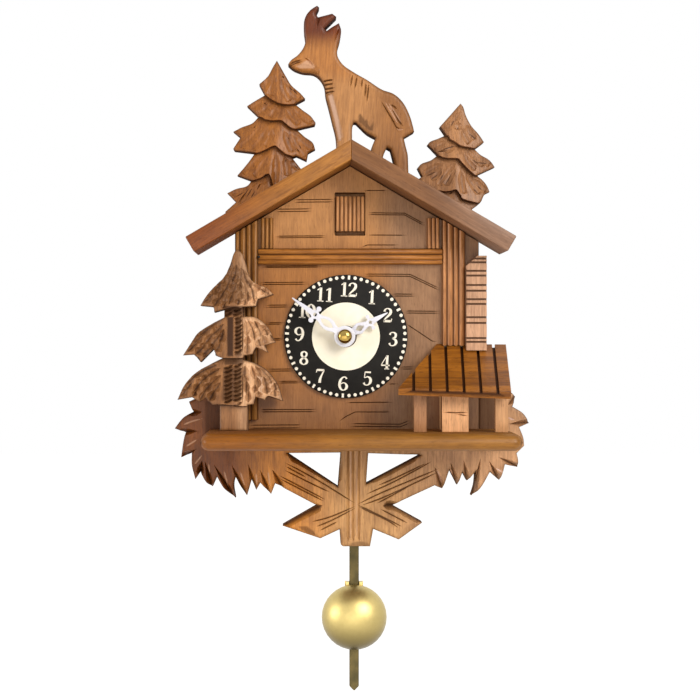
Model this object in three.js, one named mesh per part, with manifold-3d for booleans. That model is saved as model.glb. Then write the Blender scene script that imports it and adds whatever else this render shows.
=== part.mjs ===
import * as THREE from 'three';
import { mergeVertices } from 'three/addons/utils/BufferGeometryUtils.js';
import Module from 'manifold-3d';

// A miniature chalet wall clock with a short pendulum, in millimetres.
// X runs to the right, Y back to the wall and Z up. The origin lies on the wall plane,
// straight below the roof ridge, at the height of the hand arbor.

// Fits: glued sloping faces, running shafts, pressed hubs, and the overrun of every cutting tool
const seatGap = 0.3;
const runGap = 0.08;
const hubGap = 0.05;
const overrun = 1;

// Case of thin boards, closed in front by the house wall
const caseCentre = 1.8;
const caseWidth = 63.4;
const caseDepth = 35.5;
const wallThick = 2.9;
const floorTop = -25.8;
const floorThick = 2.4;
const backThick = 2;
const frontThick = 4.5;

// Roof: two barge boards in front, two thin panels behind them
const roofPitch = THREE.MathUtils.degToRad(30.4);
const ridgeTop = 49.75;
const bargeThick = 4.44;
const bargeDepth = 15.8;
const bargeReach = 12;
const eaveLeft = 42;
const eaveRight = 41.7;
const panelThick = 3;
const panelDrop = 0.75;
const panelOverhang = 0.6;

// Fluted strips on the house wall
const postThick = 2;
const postWidth = 6;
const postFoot = -21.6;
const postRibShares = [0, 0.2, 0.48, 0.7, 1];
const stripWidth = 3.2;
const stripGap = 0.7;
const stripTop = 30.7;
const stripRibs = 3;
const beamThick = 2.2;
const beamHeight = 4.1;
const beamBottom = 18.7;
const beamRibShares = [0, 0.24, 0.62, 1];
const fluteDepth = 0.6;

// Sham door in the gable: a fluted block in a shallow pocket
const doorWidth = 7.6;
const doorHeight = 9.05;
const doorFoot = 27.3;
const doorProud = 1.2;
const doorRibs = 7;
const pocketWidth = 7.8;
const pocketHeight = 11.1;
const pocketFoot = 26.3;
const pocketDepth = 3;

// Log block on the right edge of the wall
const logWidth = 5.25;
const logThick = 4;
const logTop = 20.8;
const logFoot = -3.6;
const logGroove = 0.5;
const logNotchWidth = 2.9;
const logNotchHeight = 2.6;

// Shelf in front of the house
const shelfLeft = -37.5;
const shelfRight = 41.6;
const shelfDepth = 25;
const shelfThick = 4.2;
const shelfCorner = 2.5;

// Porch on the shelf: sloping roof, two posts and a small annex
const porchTurn = THREE.MathUtils.degToRad(-3);
const porchPitch = THREE.MathUtils.degToRad(28.5);
const porchRoll = THREE.MathUtils.degToRad(2);
const porchInset = 3.5;
const porchRise = 22.2;
const porchRoofThick = 2;
const porchRun = 21.4;
const porchLeft = 17.2;
const porchBackLeft = 6.6;
const porchRight = 10.5;
const porchPost = 3.2;
const porchPostFront = 16.2;
const porchPostLeft = 13.7;
const porchPostRight = 6.6;
const annexLeft = 6.7;
const annexWidth = 6.7;
const annexDepth = 15.4;
const boardPitch = 4.14;
const boardFirst = 3.25;
const boardGroove = 0.75;
const boardGrooves = 6;

// Carved leaf board with the crossed braces
const leafLeft = -45.6;
const leafWidth = 92.4;
const leafBottom = -54.6;
const leafHeight = 42.3;
const leafThick = 5.5;

// Carved trees and the chamois
const treeThick = 5;
const roofTreeLeftX = -32.7;
const roofTreeLeftZ = 31.7;
const roofTreeLeftWidth = 23.9;
const roofTreeLeftHeight = 41;
const roofTreeGap = 1;
const roofTreeRightZ = 32.5;
const roofTreeRightWidth = 20.5;
const roofTreeRightHeight = 28.9;
const chamoisX = -16.1;
const chamoisZ = 42.4;
const chamoisWidth = 33.1;
const chamoisHeight = 44.6;
const yardTreeX = -44.2;
const yardTreeWidth = 26.9;
const yardTreeHeight = 46.1;
const yardTreeThick = 8.6;

// Dial and hands
const arborX = -1.5;
const dialX = -1.1;
const dialRadius = 16.05;
const dialThick = 1.5;
const dialRim = 0.5;
const dialBore = 2.7;
const handThick = 0.8;
const hourHandGap = 1.1;
const minuteHandGap = 1;
const minuteLength = 16.8;
const hourLength = 12.7;
const minuteAngle = THREE.MathUtils.degToRad(305.6);
const hourAngle = THREE.MathUtils.degToRad(62);
const hubRadius = 2.75;
const loopHalf = 1.95;
const loopWire = 0.55;
const crossHalf = 1.5;
const crossBar = 0.95;
const pointerHalf = 0.62;
const pointerTip = 0.2;
const nutRadius = 1.85;
const nutHeight = 1.8;

// Movement
const moveSide = 3.6;
const moveHeight = 51;
const moveCorner = 12;
const plateThick = 2.2;
const shellDepth = 14.1;
const shellWall = 1.2;
const bushRadius = 2.4;
const bushReach = 3;
const arborRadius = 1;
const pivotRadius = 0.6;
const pipeRadius = 1.7;
const module = 0.4;
const cannonTeeth = 10;
const minuteWheelTeeth = 30;
const minutePinionTeeth = 8;
const hourWheelTeeth = 32;
const wheelThick = 1.2;
const pinionThick = 1.8;
const wheelGap = 0.5;
const setShaftRadius = 0.8;
const knobRadius = 4.5;
const knobThick = 2.6;
const knobGap = 0.4;
const bayHeight = 10.9;
const bayFloor = 1;
const bayPlay = 0.2;
const nubLength = 0.9;
const nubRadius = 1.9;
const contactThick = 0.4;
const contactRadius = 3;
const contactReach = 2.1;
const boardThick = 1;
const boardWidth = 15;
const boardHeight = 10;
const boardFoot = 8;
const boardInset = 7.5;
const coilInset = 6.65;
const coilRadius = 3;
const coilFlange = 3.8;
const coilFlangeThick = 0.9;
const coilZ = 11.6;
const driveCoilRadius = 4.6;
const driveCoilDepth = 3.6;
const driveCoilZ = 10.5;
const fixingInset = 3.6;
const screwHead = 2.1;
const screwHeadThick = 1.1;
const screwShank = 0.9;
const screwLength = 5;

// Pendulum
const pendulumX = 1.95;
const hangerZ = 20;
const hangerRing = 2.8;
const hangerWidth = 4;
const hangerThick = 1.8;
const hangerReach = 26;
const hangerGap = 1.8;
const hangerPin = 1;
const pinHead = 1.7;
const pinHeadThick = 0.8;
const hookPeg = 0.9;
const rodWidth = 2.6;
const rodThick = 1;
const rodGap = 0.2;
const rodTip = -97.7;
const rodPoint = 1.3;
const rodEye = 3.2;
const bobZ = -77.2;
const bobRadius = 9;
const bobDepth = 7.4;
const bobWall = 0.7;
const bobVent = 1.4;
const clipWall = 0.8;
const clipRise = 9.6;
const clipDrop = 7;
const clipWidth = 5;
const clipSide = 0.15;
const slotSwing = 8.6;
const slotDepth = 7;

// Back cover: service window, nail keyhole and brads
const windowWidth = 34;
const windowHeight = 19;
const windowFoot = -23.5;
const nailHole = 3.5;
const nailSlot = 2.1;
const nailZ = 29;
const nailRise = 5.5;
const bradHead = 1.1;
const bradHeadThick = 0.8;
const bradShank = 0.4;
const bradLength = 8;
const bradMargin = 4;

// Round forms get sides in these steps
const fineSides = 48;
const roundSides = 32;
const smallSides = 20;

// Planes and edges that follow from the sizes
const caseLeft = caseCentre - caseWidth / 2;
const caseRight = caseCentre + caseWidth / 2;
const wallBack = -backThick;
const frontBack = -caseDepth;
const front = frontBack - frontThick;
const floorBottom = floorTop - floorThick;
const bargeFront = front - bargeReach;
const bargeBack = bargeFront + bargeDepth;
const slope = Math.tan(roofPitch);
const bargeDrop = bargeThick / Math.cos(roofPitch);
const panelRise = panelThick / Math.cos(roofPitch);
const ridgeBottom = ridgeTop - bargeDrop;
const panelTop = ridgeTop - panelDrop;
const panelBottom = panelTop - panelRise;
const shelfTop = floorBottom + shelfThick;
const moveWidth = caseWidth - 2 * (wallThick + moveSide);
const cellRadius = bayHeight / 2 - bayPlay;
const roofTreeRightX = chamoisX + chamoisWidth + roofTreeGap;
const porchX = caseRight - porchInset;

const wasm = await Module();
wasm.setup();

function solidOf(geometry) {
  const plain = geometry.clone();
  plain.deleteAttribute('normal');
  plain.deleteAttribute('uv');
  const merged = mergeVertices(plain);
  const vertProperties = new Float32Array(merged.attributes.position.array);
  const triVerts = new Uint32Array(merged.index.array);
  let volume = 0;
  const a = new THREE.Vector3();
  const b = new THREE.Vector3();
  const c = new THREE.Vector3();
  for (let i = 0; i < triVerts.length; i += 3) {
    a.fromArray(vertProperties, 3 * triVerts[i]);
    b.fromArray(vertProperties, 3 * triVerts[i + 1]);
    c.fromArray(vertProperties, 3 * triVerts[i + 2]);
    volume += a.dot(b.cross(c));
  }
  if (volume < 0) triVerts.reverse();
  return new wasm.Manifold(new wasm.Mesh({ numProp: 3, vertProperties, triVerts }));
}

function geometryOf(solid) {
  const mesh = solid.getMesh();
  const geometry = new THREE.BufferGeometry();
  geometry.setAttribute('position', new THREE.BufferAttribute(new Float32Array(mesh.vertProperties), 3));
  geometry.setIndex(new THREE.BufferAttribute(new Uint32Array(mesh.triVerts), 1));
  geometry.computeVertexNormals();
  return geometry;
}

// A box between two corners
function block(x0, x1, y0, y1, z0, z1) {
  const box = new THREE.BoxGeometry(x1 - x0, y1 - y0, z1 - z0);
  box.translate((x0 + x1) / 2, (y0 + y1) / 2, (z0 + z1) / 2);
  return solidOf(box);
}

// An outline in X and Z, given depth from its front plane to its back plane
function plate(points, yFront, yBack) {
  const shape = new THREE.Shape(points.map(([x, z]) => new THREE.Vector2(x, z)));
  const geometry = new THREE.ExtrudeGeometry(shape, { depth: yBack - yFront, bevelEnabled: false });
  geometry.rotateX(Math.PI / 2);
  geometry.translate(0, yBack, 0);
  return solidOf(geometry);
}

// An outline whose points are shares of a width and a height
function outline(shares, x, z, width, height) {
  return shares.map(([across, up]) => [x + across * width, z + up * height]);
}

// A round rod along Y
function rod(radius, yFront, yBack, x, z, sides = smallSides) {
  const geometry = new THREE.CylinderGeometry(radius, radius, yBack - yFront, sides);
  geometry.translate(x, (yFront + yBack) / 2, z);
  return solidOf(geometry);
}

// A profile of radius and Y, turned about an axis along Y
function turned(profile, x, z, sides = roundSides) {
  const points = profile.map(([radius, y]) => new THREE.Vector2(radius, y));
  const geometry = new THREE.LatheGeometry(points, sides);
  geometry.translate(x, 0, z);
  return solidOf(geometry);
}

// Spur wheel with straight-flanked teeth, one tooth pointing up when its phase is zero
const toothTopShare = 0.16;
const toothMiddleShare = 0.21;
const toothFootShare = 0.3;
const addendumShare = 0.85;
const dedendumShare = 1.2;
function wheel(teeth, yFront, yBack, x, z, phase = 0) {
  const pitchRadius = module * teeth / 2;
  const step = 2 * Math.PI / teeth;
  const steps = [
    [pitchRadius - dedendumShare * module, -toothFootShare],
    [pitchRadius, -toothMiddleShare],
    [pitchRadius + addendumShare * module, -toothTopShare],
    [pitchRadius + addendumShare * module, toothTopShare],
    [pitchRadius, toothMiddleShare],
    [pitchRadius - dedendumShare * module, toothFootShare],
  ];
  const points = [];
  for (let i = 0; i < teeth; i += 1) {
    for (const [radius, share] of steps) {
      const angle = phase + (i + share) * step;
      points.push([x + radius * Math.sin(angle), z + radius * Math.cos(angle)]);
    }
  }
  return plate(points.reverse(), yFront, yBack);
}

// Section of a fluted strip: rounded ribs between edges given as shares, on a flat back
function flutes(width, thick, edgeShares) {
  const points = [[0, 0]];
  const arcSteps = 4;
  edgeShares.slice(1).forEach((end, rib) => {
    const start = edgeShares[rib];
    for (let i = 0; i <= arcSteps; i += 1) {
      const across = (start + (end - start) * i / arcSteps) * width;
      const proud = thick - fluteDepth + fluteDepth * Math.sin(Math.PI * i / arcSteps);
      if (rib === 0 || i > 0) points.push([across, proud]);
    }
  });
  points.push([width, 0]);
  return points;
}
const evenRibs = (count) => Array.from({ length: count + 1 }, (_, i) => i / count);

// Fluted strip that stands on the wall, ribs upright
function uprightStrip(x, width, thick, edgeShares, zBottom, zTop) {
  const section = flutes(width, thick, edgeShares).map(([a, p]) => new THREE.Vector2(x + a, front - p));
  const shape = new THREE.Shape(section);
  const geometry = new THREE.ExtrudeGeometry(shape, { depth: zTop - zBottom, bevelEnabled: false });
  geometry.translate(0, 0, zBottom);
  return solidOf(geometry);
}

// Everything above the underside of the barge boards, for trimming what meets the roof
function aboveRoof(drop) {
  const reach = caseWidth;
  const edge = ridgeBottom - drop;
  const points = [
    [0, edge],
    [reach, edge - reach * slope],
    [reach, edge + reach],
    [-reach, edge + reach],
    [-reach, edge - reach * slope],
  ];
  return plate(points, bargeFront - overrun, overrun);
}

// Everything below the top of the roof panels, for seating the carvings
function belowPanels() {
  const reach = caseWidth;
  const edge = panelTop + seatGap;
  const points = [
    [0, edge],
    [-reach, edge - reach * slope],
    [-reach, -reach],
    [reach, -reach],
    [reach, edge - reach * slope],
  ];
  return plate(points, bargeBack - overrun, overrun);
}

const clock = new THREE.Group();

function add(parent, name, solid, look) {
  const mesh = new THREE.Mesh(geometryOf(solid), new THREE.MeshStandardMaterial(look));
  mesh.name = name;
  parent.add(mesh);
  return mesh;
}

const wallWood = { color: 0xb08454, roughness: 0.5 };
const redWood = { color: 0xa05a32, roughness: 0.45 };
const paleWood = { color: 0xc49066, roughness: 0.5 };
const carvedWood = { color: 0x94603a, roughness: 0.5 };
const boardWood = { color: 0x8a5a34, roughness: 0.6 };
const blackPlastic = { color: 0x1c1c1c, roughness: 0.5 };
const whitePlastic = { color: 0xf0f0f2, roughness: 0.35 };
const greyPlastic = { color: 0x55585c, roughness: 0.6 };
const brassMetal = { color: 0xc8b050, roughness: 0.3, metalness: 1 };
const steelMetal = { color: 0xa8a8a8, roughness: 0.35, metalness: 1 };
const copperMetal = { color: 0xa85a2a, roughness: 0.4, metalness: 1 };
const greenBoard = { color: 0x2e6b3c, roughness: 0.5 };

// Case: walls, floor with the pendulum slot, and roof panels
const coverUnder = (x) => panelBottom - seatGap - Math.abs(x) * slope;
const bradX = [caseLeft + wallThick / 2, caseRight - wallThick / 2];
const bradZ = [floorBottom + bradMargin, coverUnder(caseRight) - bradMargin];
function sideWall(x0, x1) {
  const points = [[x0, floorBottom], [x1, floorBottom], [x1, coverUnder(x1)], [x0, coverUnder(x0)]];
  let wall = plate(points, frontBack, wallBack);
  for (const z of bradZ) {
    wall = wall.subtract(rod(bradShank + hubGap, -bradLength - seatGap, overrun, (x0 + x1) / 2, z));
  }
  return wall;
}
add(clock, 'case_wall_left', sideWall(caseLeft, caseLeft + wallThick), boardWood);
add(clock, 'case_wall_right', sideWall(caseRight - wallThick, caseRight), boardWood);

const rodY = frontBack + plateThick + shellDepth + hangerGap + hangerThick + rodGap;
const slotMiddle = rodY + rodThick / 2;
const floorSlot = block(pendulumX - slotSwing, pendulumX + slotSwing, slotMiddle - slotDepth / 2,
  slotMiddle + slotDepth / 2, floorBottom - overrun, floorTop + overrun);
const floorBoard = block(caseLeft + wallThick, caseRight - wallThick, frontBack, wallBack,
  floorBottom, floorTop);
add(clock, 'case_floor', floorBoard.subtract(floorSlot), boardWood);

function roofPanel(end) {
  const fall = Math.abs(end) * slope;
  const points = [
    [0, panelTop],
    [end, panelTop - fall],
    [end, panelBottom - fall],
    [0, panelBottom],
  ];
  return plate(points, bargeBack, 0);
}
add(clock, 'roof_panel_left', roofPanel(caseLeft - panelOverhang), boardWood);
add(clock, 'roof_panel_right', roofPanel(caseRight + panelOverhang), boardWood);

// House wall: gable board with the arbor hole, the door pocket and two pilot holes
const housePoints = [
  [caseLeft, floorBottom],
  [caseRight, floorBottom],
  [caseRight, ridgeBottom - seatGap - caseRight * slope],
  [0, ridgeBottom - seatGap],
  [caseLeft, ridgeBottom - seatGap + caseLeft * slope],
];
const fixingX = moveWidth / 2 - fixingInset;
const fixingZ = moveHeight / 2 - fixingInset;
const screwTip = frontBack + plateThick - screwLength;
let houseWall = plate(housePoints, front, frontBack);
houseWall = houseWall.subtract(rod(bushRadius + seatGap, front - overrun, frontBack + overrun, arborX, 0));
houseWall = houseWall.subtract(block(-pocketWidth / 2, pocketWidth / 2, front - overrun, front + pocketDepth,
  pocketFoot, pocketFoot + pocketHeight));
for (const side of [-1, 1]) {
  const x = arborX + side * fixingX;
  const pilot = rod(screwShank + hubGap, screwTip - seatGap, frontBack + overrun, x, fixingZ);
  houseWall = houseWall.subtract(pilot);
}
add(clock, 'house_wall', houseWall, wallWood);

// Sham door block, fluted, on the floor of its pocket
const doorShape = new THREE.Shape(flutes(doorWidth, doorProud + pocketDepth, evenRibs(doorRibs))
  .map(([a, p]) => new THREE.Vector2(a - doorWidth / 2, front + pocketDepth - p)));
const doorGeometry = new THREE.ExtrudeGeometry(doorShape, { depth: doorHeight, bevelEnabled: false });
doorGeometry.translate(0, 0, doorFoot);
add(clock, 'gable_door', solidOf(doorGeometry), redWood);

// Barge boards, cut square at the eaves and mitred at the ridge
function bargeBoard(side, reach) {
  const fall = reach * slope;
  const inX = bargeThick * Math.sin(roofPitch);
  const inZ = bargeThick * Math.cos(roofPitch);
  const points = [
    [0, ridgeTop],
    [side * reach, ridgeTop - fall],
    [side * (reach - inX), ridgeTop - fall - inZ],
    [0, ridgeBottom],
  ];
  return plate(points, bargeFront, bargeBack);
}
add(clock, 'barge_board_left', bargeBoard(-1, eaveLeft), redWood);
add(clock, 'barge_board_right', bargeBoard(1, eaveRight), redWood);

// Porch roof, in its own turned frame: X along the front, Y back, Z up from the shelf
const porchFrame = new THREE.Matrix4().makeRotationZ(porchTurn).setPosition(porchX, front, shelfTop);
function porchSlab(points, bottom, top) {
  const shape = new THREE.Shape(points.map(([x, y]) => new THREE.Vector2(x, y / Math.cos(porchPitch))));
  const geometry = new THREE.ExtrudeGeometry(shape, { depth: top - bottom, bevelEnabled: false });
  geometry.translate(0, 0, bottom);
  geometry.rotateX(porchPitch);
  geometry.rotateY(porchRoll);
  geometry.translate(0, 0, porchRise);
  return geometry;
}
const porchPlan = [
  [-porchLeft, -porchRun],
  [porchRight, -porchRun],
  [porchRight, overrun],
  [-porchBackLeft, overrun],
];
const wallCut = block(-porchRun, porchRun, -seatGap, porchRun, -porchRise, porchRun + porchRise)
  .rotate([0, 0, -THREE.MathUtils.radToDeg(porchTurn)]);
const widePlan = [
  [-porchRun - porchLeft, -2 * porchRun],
  [porchRun + porchRight, -2 * porchRun],
  [porchRun + porchRight, porchRun],
  [-porchRun - porchLeft, porchRun],
];
const porchAir = solidOf(porchSlab(widePlan, -porchRoofThick - seatGap, porchRise));
let porchRoof = solidOf(porchSlab(porchPlan, -porchRoofThick, 0)).subtract(wallCut);
for (let i = 0; i < boardGrooves; i += 1) {
  const x = porchRight - boardFirst - i * boardPitch;
  const groovePlan = [
    [x - boardGroove / 2, -porchRun - overrun],
    [x + boardGroove / 2, -porchRun - overrun],
    [x + boardGroove / 2, overrun],
    [x - boardGroove / 2, overrun],
  ];
  porchRoof = porchRoof.subtract(solidOf(porchSlab(groovePlan, -boardGroove, overrun)));
}
const porch = new THREE.Group();
porch.applyMatrix4(porchFrame);
clock.add(porch);
add(porch, 'porch_roof', porchRoof, redWood);
function porchColumn(x, width, y0, y1) {
  return block(x, x + width, y0, y1, 0, porchRise).subtract(porchAir).subtract(wallCut);
}
for (const [name, x] of [['left', -porchPostLeft], ['right', porchPostRight]]) {
  const post = porchColumn(x, porchPost, -porchPostFront, porchPost - porchPostFront);
  add(porch, `porch_post_${name}`, post, paleWood);
}
add(porch, 'annex_block', porchColumn(-annexLeft, annexWidth, -annexDepth, overrun), paleWood);

// What stands over the porch roof is trimmed to it
const overPorch = solidOf(porchSlab(widePlan, -porchRise, seatGap).applyMatrix4(porchFrame));

// Fluted corner posts, gable strips and the cross beam between them
const roofCut = aboveRoof(seatGap);
const postLeft = caseLeft + hubGap;
const postRight = -postLeft - postWidth;
function cornerPost(x, zBottom) {
  return uprightStrip(x, postWidth, postThick, postRibShares, zBottom, ridgeTop).subtract(roofCut);
}
add(clock, 'corner_post_left', cornerPost(postLeft, postFoot), paleWood);
add(clock, 'corner_post_right', cornerPost(postRight, shelfTop).subtract(overPorch), paleWood);
const beamTop = beamBottom + beamHeight;
const beamLeft = postLeft + postWidth;
for (const [name, x] of [['left', beamLeft + stripGap], ['right', postRight - stripGap - stripWidth]]) {
  const strip = uprightStrip(x, stripWidth, postThick, evenRibs(stripRibs), beamTop, stripTop);
  add(clock, `gable_strip_${name}`, strip.subtract(roofCut), paleWood);
}
const beamSection = flutes(beamHeight, beamThick, beamRibShares)
  .map(([a, p]) => new THREE.Vector2(front - p, beamBottom + a));
const beamGeometry = new THREE.ExtrudeGeometry(new THREE.Shape(beamSection), {
  depth: postRight - beamLeft,
  bevelEnabled: false,
});
beamGeometry.applyMatrix4(new THREE.Matrix4().set(0, 0, 1, beamLeft, 1, 0, 0, 0, 0, 1, 0, 0, 0, 0, 0, 1));
add(clock, 'cross_beam', solidOf(beamGeometry), redWood);

// Log block with paired saw grooves, notched beside the post, its foot cut to the porch roof
const logLeft = postRight + postWidth;
const logPoints = [
  [logLeft, logFoot],
  [logLeft + logWidth, logFoot],
  [logLeft + logWidth, logTop],
  [logLeft + logNotchWidth, logTop],
  [logLeft, logTop - logNotchHeight],
];
let logBlock = plate(logPoints, front - logThick, front).subtract(overPorch);
const grooveShares = [0.09, 0.13, 0.29, 0.35, 0.49, 0.54, 0.63, 0.69, 0.79, 0.84, 0.93, 0.97];
for (const share of grooveShares) {
  const z = logFoot + share * (logTop - logFoot);
  const groove = block(logLeft - overrun, logLeft + logWidth + overrun, front - logThick - overrun,
    front - logThick + logGroove, z - logGroove / 2, z + logGroove / 2);
  logBlock = logBlock.subtract(groove);
}
add(clock, 'log_block', logBlock, paleWood);

// Shelf with rounded edges: a thin core with a bevel above and below it
const shelfCore = shelfThick / 100;
const shelfBevel = (shelfThick - shelfCore) / 2;
const edgeRound = shelfThick / 2;
const shelfShape = new THREE.Shape();
const shelfIn = shelfCorner - edgeRound;
const sx0 = shelfLeft + edgeRound;
const sx1 = shelfRight - edgeRound;
const sy0 = front - shelfDepth + edgeRound;
shelfShape.moveTo(sx0, front + 2 * edgeRound);
shelfShape.lineTo(sx0, sy0 + shelfIn);
shelfShape.absarc(sx0 + shelfIn, sy0 + shelfIn, shelfIn, Math.PI, 1.5 * Math.PI, false);
shelfShape.absarc(sx1 - shelfIn, sy0 + shelfIn, shelfIn, 1.5 * Math.PI, 2 * Math.PI, false);
shelfShape.lineTo(sx1, front + 2 * edgeRound);
const shelfGeometry = new THREE.ExtrudeGeometry(shelfShape, {
  depth: shelfCore,
  curveSegments: 3,
  bevelEnabled: true,
  bevelThickness: shelfBevel,
  bevelSize: edgeRound,
  bevelSegments: 4,
});
shelfGeometry.translate(0, 0, floorBottom + shelfBevel);
const shelfCut = block(shelfLeft - overrun, shelfRight + overrun, front, front + shelfDepth,
  floorBottom - overrun, shelfTop + overrun);
add(clock, 'shelf_board', solidOf(shelfGeometry).subtract(shelfCut), redWood);

// Leaf board with the crossed braces, sawn round the house
const leafOutlineShares = [
  [0.17, 0.93], [0.12, 0.95], [0.07, 0.92], [0.04, 0.89], [0.052, 0.827], [0.025, 0.793], [0, 0.726],
  [0.03, 0.7], [0.025, 0.652], [0.018, 0.547], [0.048, 0.574], [0.048, 0.503], [0.058, 0.413],
  [0.072, 0.458], [0.09, 0.391], [0.106, 0.365], [0.119, 0.429], [0.137, 0.362], [0.171, 0.295],
  [0.166, 0.376], [0.171, 0.429], [0.185, 0.369], [0.203, 0.308], [0.211, 0.369], [0.216, 0.41],
  [0.229, 0.343], [0.241, 0.391], [0.271, 0.318], [0.283, 0.387], [0.402, 0.25], [0.304, 0.127],
  [0.41, 0.049], [0.465, 0.105], [0.468, 0.011], [0.475, 0], [0.55, 0], [0.559, 0.107],
  [0.631, 0.042], [0.697, 0.146], [0.613, 0.248], [0.641, 0.283], [0.732, 0.375], [0.755, 0.352],
  [0.774, 0.474], [0.797, 0.375], [0.811, 0.459], [0.825, 0.401], [0.849, 0.466], [0.846, 0.375],
  [0.837, 0.309], [0.861, 0.359], [0.888, 0.459], [0.916, 0.405], [0.925, 0.459], [0.93, 0.504],
  [0.968, 0.485], [0.967, 0.535], [0.963, 0.573], [0.984, 0.619], [0.982, 0.665], [0.97, 0.734],
  [1, 0.757], [0.981, 0.818], [0.951, 0.86], [0.961, 0.92], [0.946, 0.948], [0.9, 0.98], [0.857, 1],
  [0.8, 1], [0.8, 0.8], [0.2, 0.8], [0.2, 0.93],
];
const braceGapLeftShares = [[0.315, 0.574], [0.468, 0.577], [0.46, 0.365]];
const braceGapRightShares = [[0.545, 0.573], [0.695, 0.562], [0.539, 0.382]];
const leafBack = front + leafThick;
const leafPoints = (shares) => outline(shares, leafLeft, leafBottom, leafWidth, leafHeight);
const houseSocket = block(caseLeft, caseRight, front - overrun, leafBack + overrun, floorBottom, ridgeTop);
let leafBoard = plate(leafPoints(leafOutlineShares).reverse(), front, leafBack).subtract(houseSocket);
for (const shares of [braceGapLeftShares, braceGapRightShares]) {
  leafBoard = leafBoard.subtract(plate(leafPoints(shares), front - overrun, leafBack + overrun));
}
add(clock, 'leaf_board', leafBoard, carvedWood);

// Trees on the roof and the chamois, sawn outlines seated on the roof panels behind the barge boards
const roofTreeLeftShares = [
  [0.57, 1], [0.61, 0.958], [0.673, 0.893], [0.729, 0.84], [0.83, 0.788], [0.88, 0.755], [0.774, 0.722],
  [0.853, 0.684], [0.942, 0.645], [0.996, 0.602], [0.987, 0.586], [0.79, 0.559], [0.875, 0.514],
  [0.965, 0.475], [0.992, 0.432], [0.914, 0.407], [0.897, 0.357], [0.785, 0.387], [0.74, 0.377],
  [0.835, 0.308], [0.835, 0], [0.835, -0.2], [0, -0.2], [0, 0.032], [0.118, 0.093], [0.02, 0.152],
  [0.112, 0.178], [0.246, 0.201], [0.286, 0.23], [0.134, 0.263], [0.258, 0.351], [0.325, 0.407],
  [0.101, 0.423], [0.088, 0.435], [0.168, 0.508], [0.088, 0.547], [0.168, 0.573], [0.303, 0.605],
  [0.365, 0.641], [0.241, 0.71], [0.325, 0.742], [0.437, 0.781], [0.376, 0.847], [0.471, 0.899],
  [0.527, 0.958],
];
const roofTreeRightShares = [
  [0.55, 1], [0.579, 0.975], [0.614, 0.896], [0.683, 0.799], [0.786, 0.714], [0.85, 0.646], [0.738, 0.585],
  [0.812, 0.537], [0.932, 0.482], [0.992, 0.421], [0.768, 0.348], [0.846, 0.3], [0.897, 0.251],
  [0.927, 0.196], [0.863, 0.172], [0.803, 0.095], [0.703, 0.039], [0.703, -0.2], [0.026, -0.2],
  [0.026, 0.321], [0.056, 0.336], [0, 0.415], [0.047, 0.452], [0.176, 0.488], [0.258, 0.531],
  [0.129, 0.628], [0.159, 0.653], [0.262, 0.683], [0.36, 0.714], [0.287, 0.79], [0.391, 0.872], [0.5, 0.96],
];
const chamoisShares = [
  [0.229, 1], [0.246, 0.989], [0.22, 0.95], [0.237, 0.931], [0.278, 0.939], [0.349, 0.953], [0.382, 0.934],
  [0.289, 0.865], [0.306, 0.851], [0.341, 0.87], [0.403, 0.897], [0.42, 0.854], [0.412, 0.803],
  [0.389, 0.732], [0.393, 0.7], [0.431, 0.655], [0.521, 0.607], [0.624, 0.563], [0.745, 0.505],
  [0.839, 0.479], [0.908, 0.432], [0.96, 0.361], [0.99, 0.29], [1, 0.257], [0.917, 0.22],
  [0.929, 0.182], [0.951, 0.105], [0.96, -0.1], [0.87, -0.1], [0.839, 0.073], [0.814, 0.15],
  [0.783, 0.163], [0.753, 0.108], [0.74, -0.1], [0.64, -0.1], [0.66, 0.155], [0.693, 0.22],
  [0.624, 0.249], [0.573, 0.285], [0.538, 0.31], [0.521, 0.31], [0.511, 0.29], [0.507, 0.214],
  [0.507, -0.1], [0.393, -0.1], [0.379, 0.22], [0.349, 0.316], [0.319, 0.406], [0.297, 0.47],
  [0.289, 0.521], [0.272, 0.553], [0.233, 0.588], [0.203, 0.601], [0.109, 0.61], [0.04, 0.63],
  [0, 0.655], [0.022, 0.678], [0.074, 0.707], [0.113, 0.742], [0.134, 0.78], [0.126, 0.848],
  [0.126, 0.905], [0.143, 0.943], [0.178, 0.975],
];
const panelCut = belowPanels();
const carvingBack = bargeBack + treeThick;
function roofCarving(shares, x, z, width, height) {
  return plate(outline(shares, x, z, width, height).reverse(), bargeBack, carvingBack).subtract(panelCut);
}
const roofTreeLeft = roofCarving(roofTreeLeftShares, roofTreeLeftX, roofTreeLeftZ,
  roofTreeLeftWidth, roofTreeLeftHeight);
const roofTreeRight = roofCarving(roofTreeRightShares, roofTreeRightX, roofTreeRightZ,
  roofTreeRightWidth, roofTreeRightHeight);
add(clock, 'roof_tree_left', roofTreeLeft, carvedWood);
add(clock, 'roof_tree_right', roofTreeRight, carvedWood);
const chamois = roofCarving(chamoisShares, chamoisX, chamoisZ, chamoisWidth, chamoisHeight);
add(clock, 'chamois', chamois, carvedWood);

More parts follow.
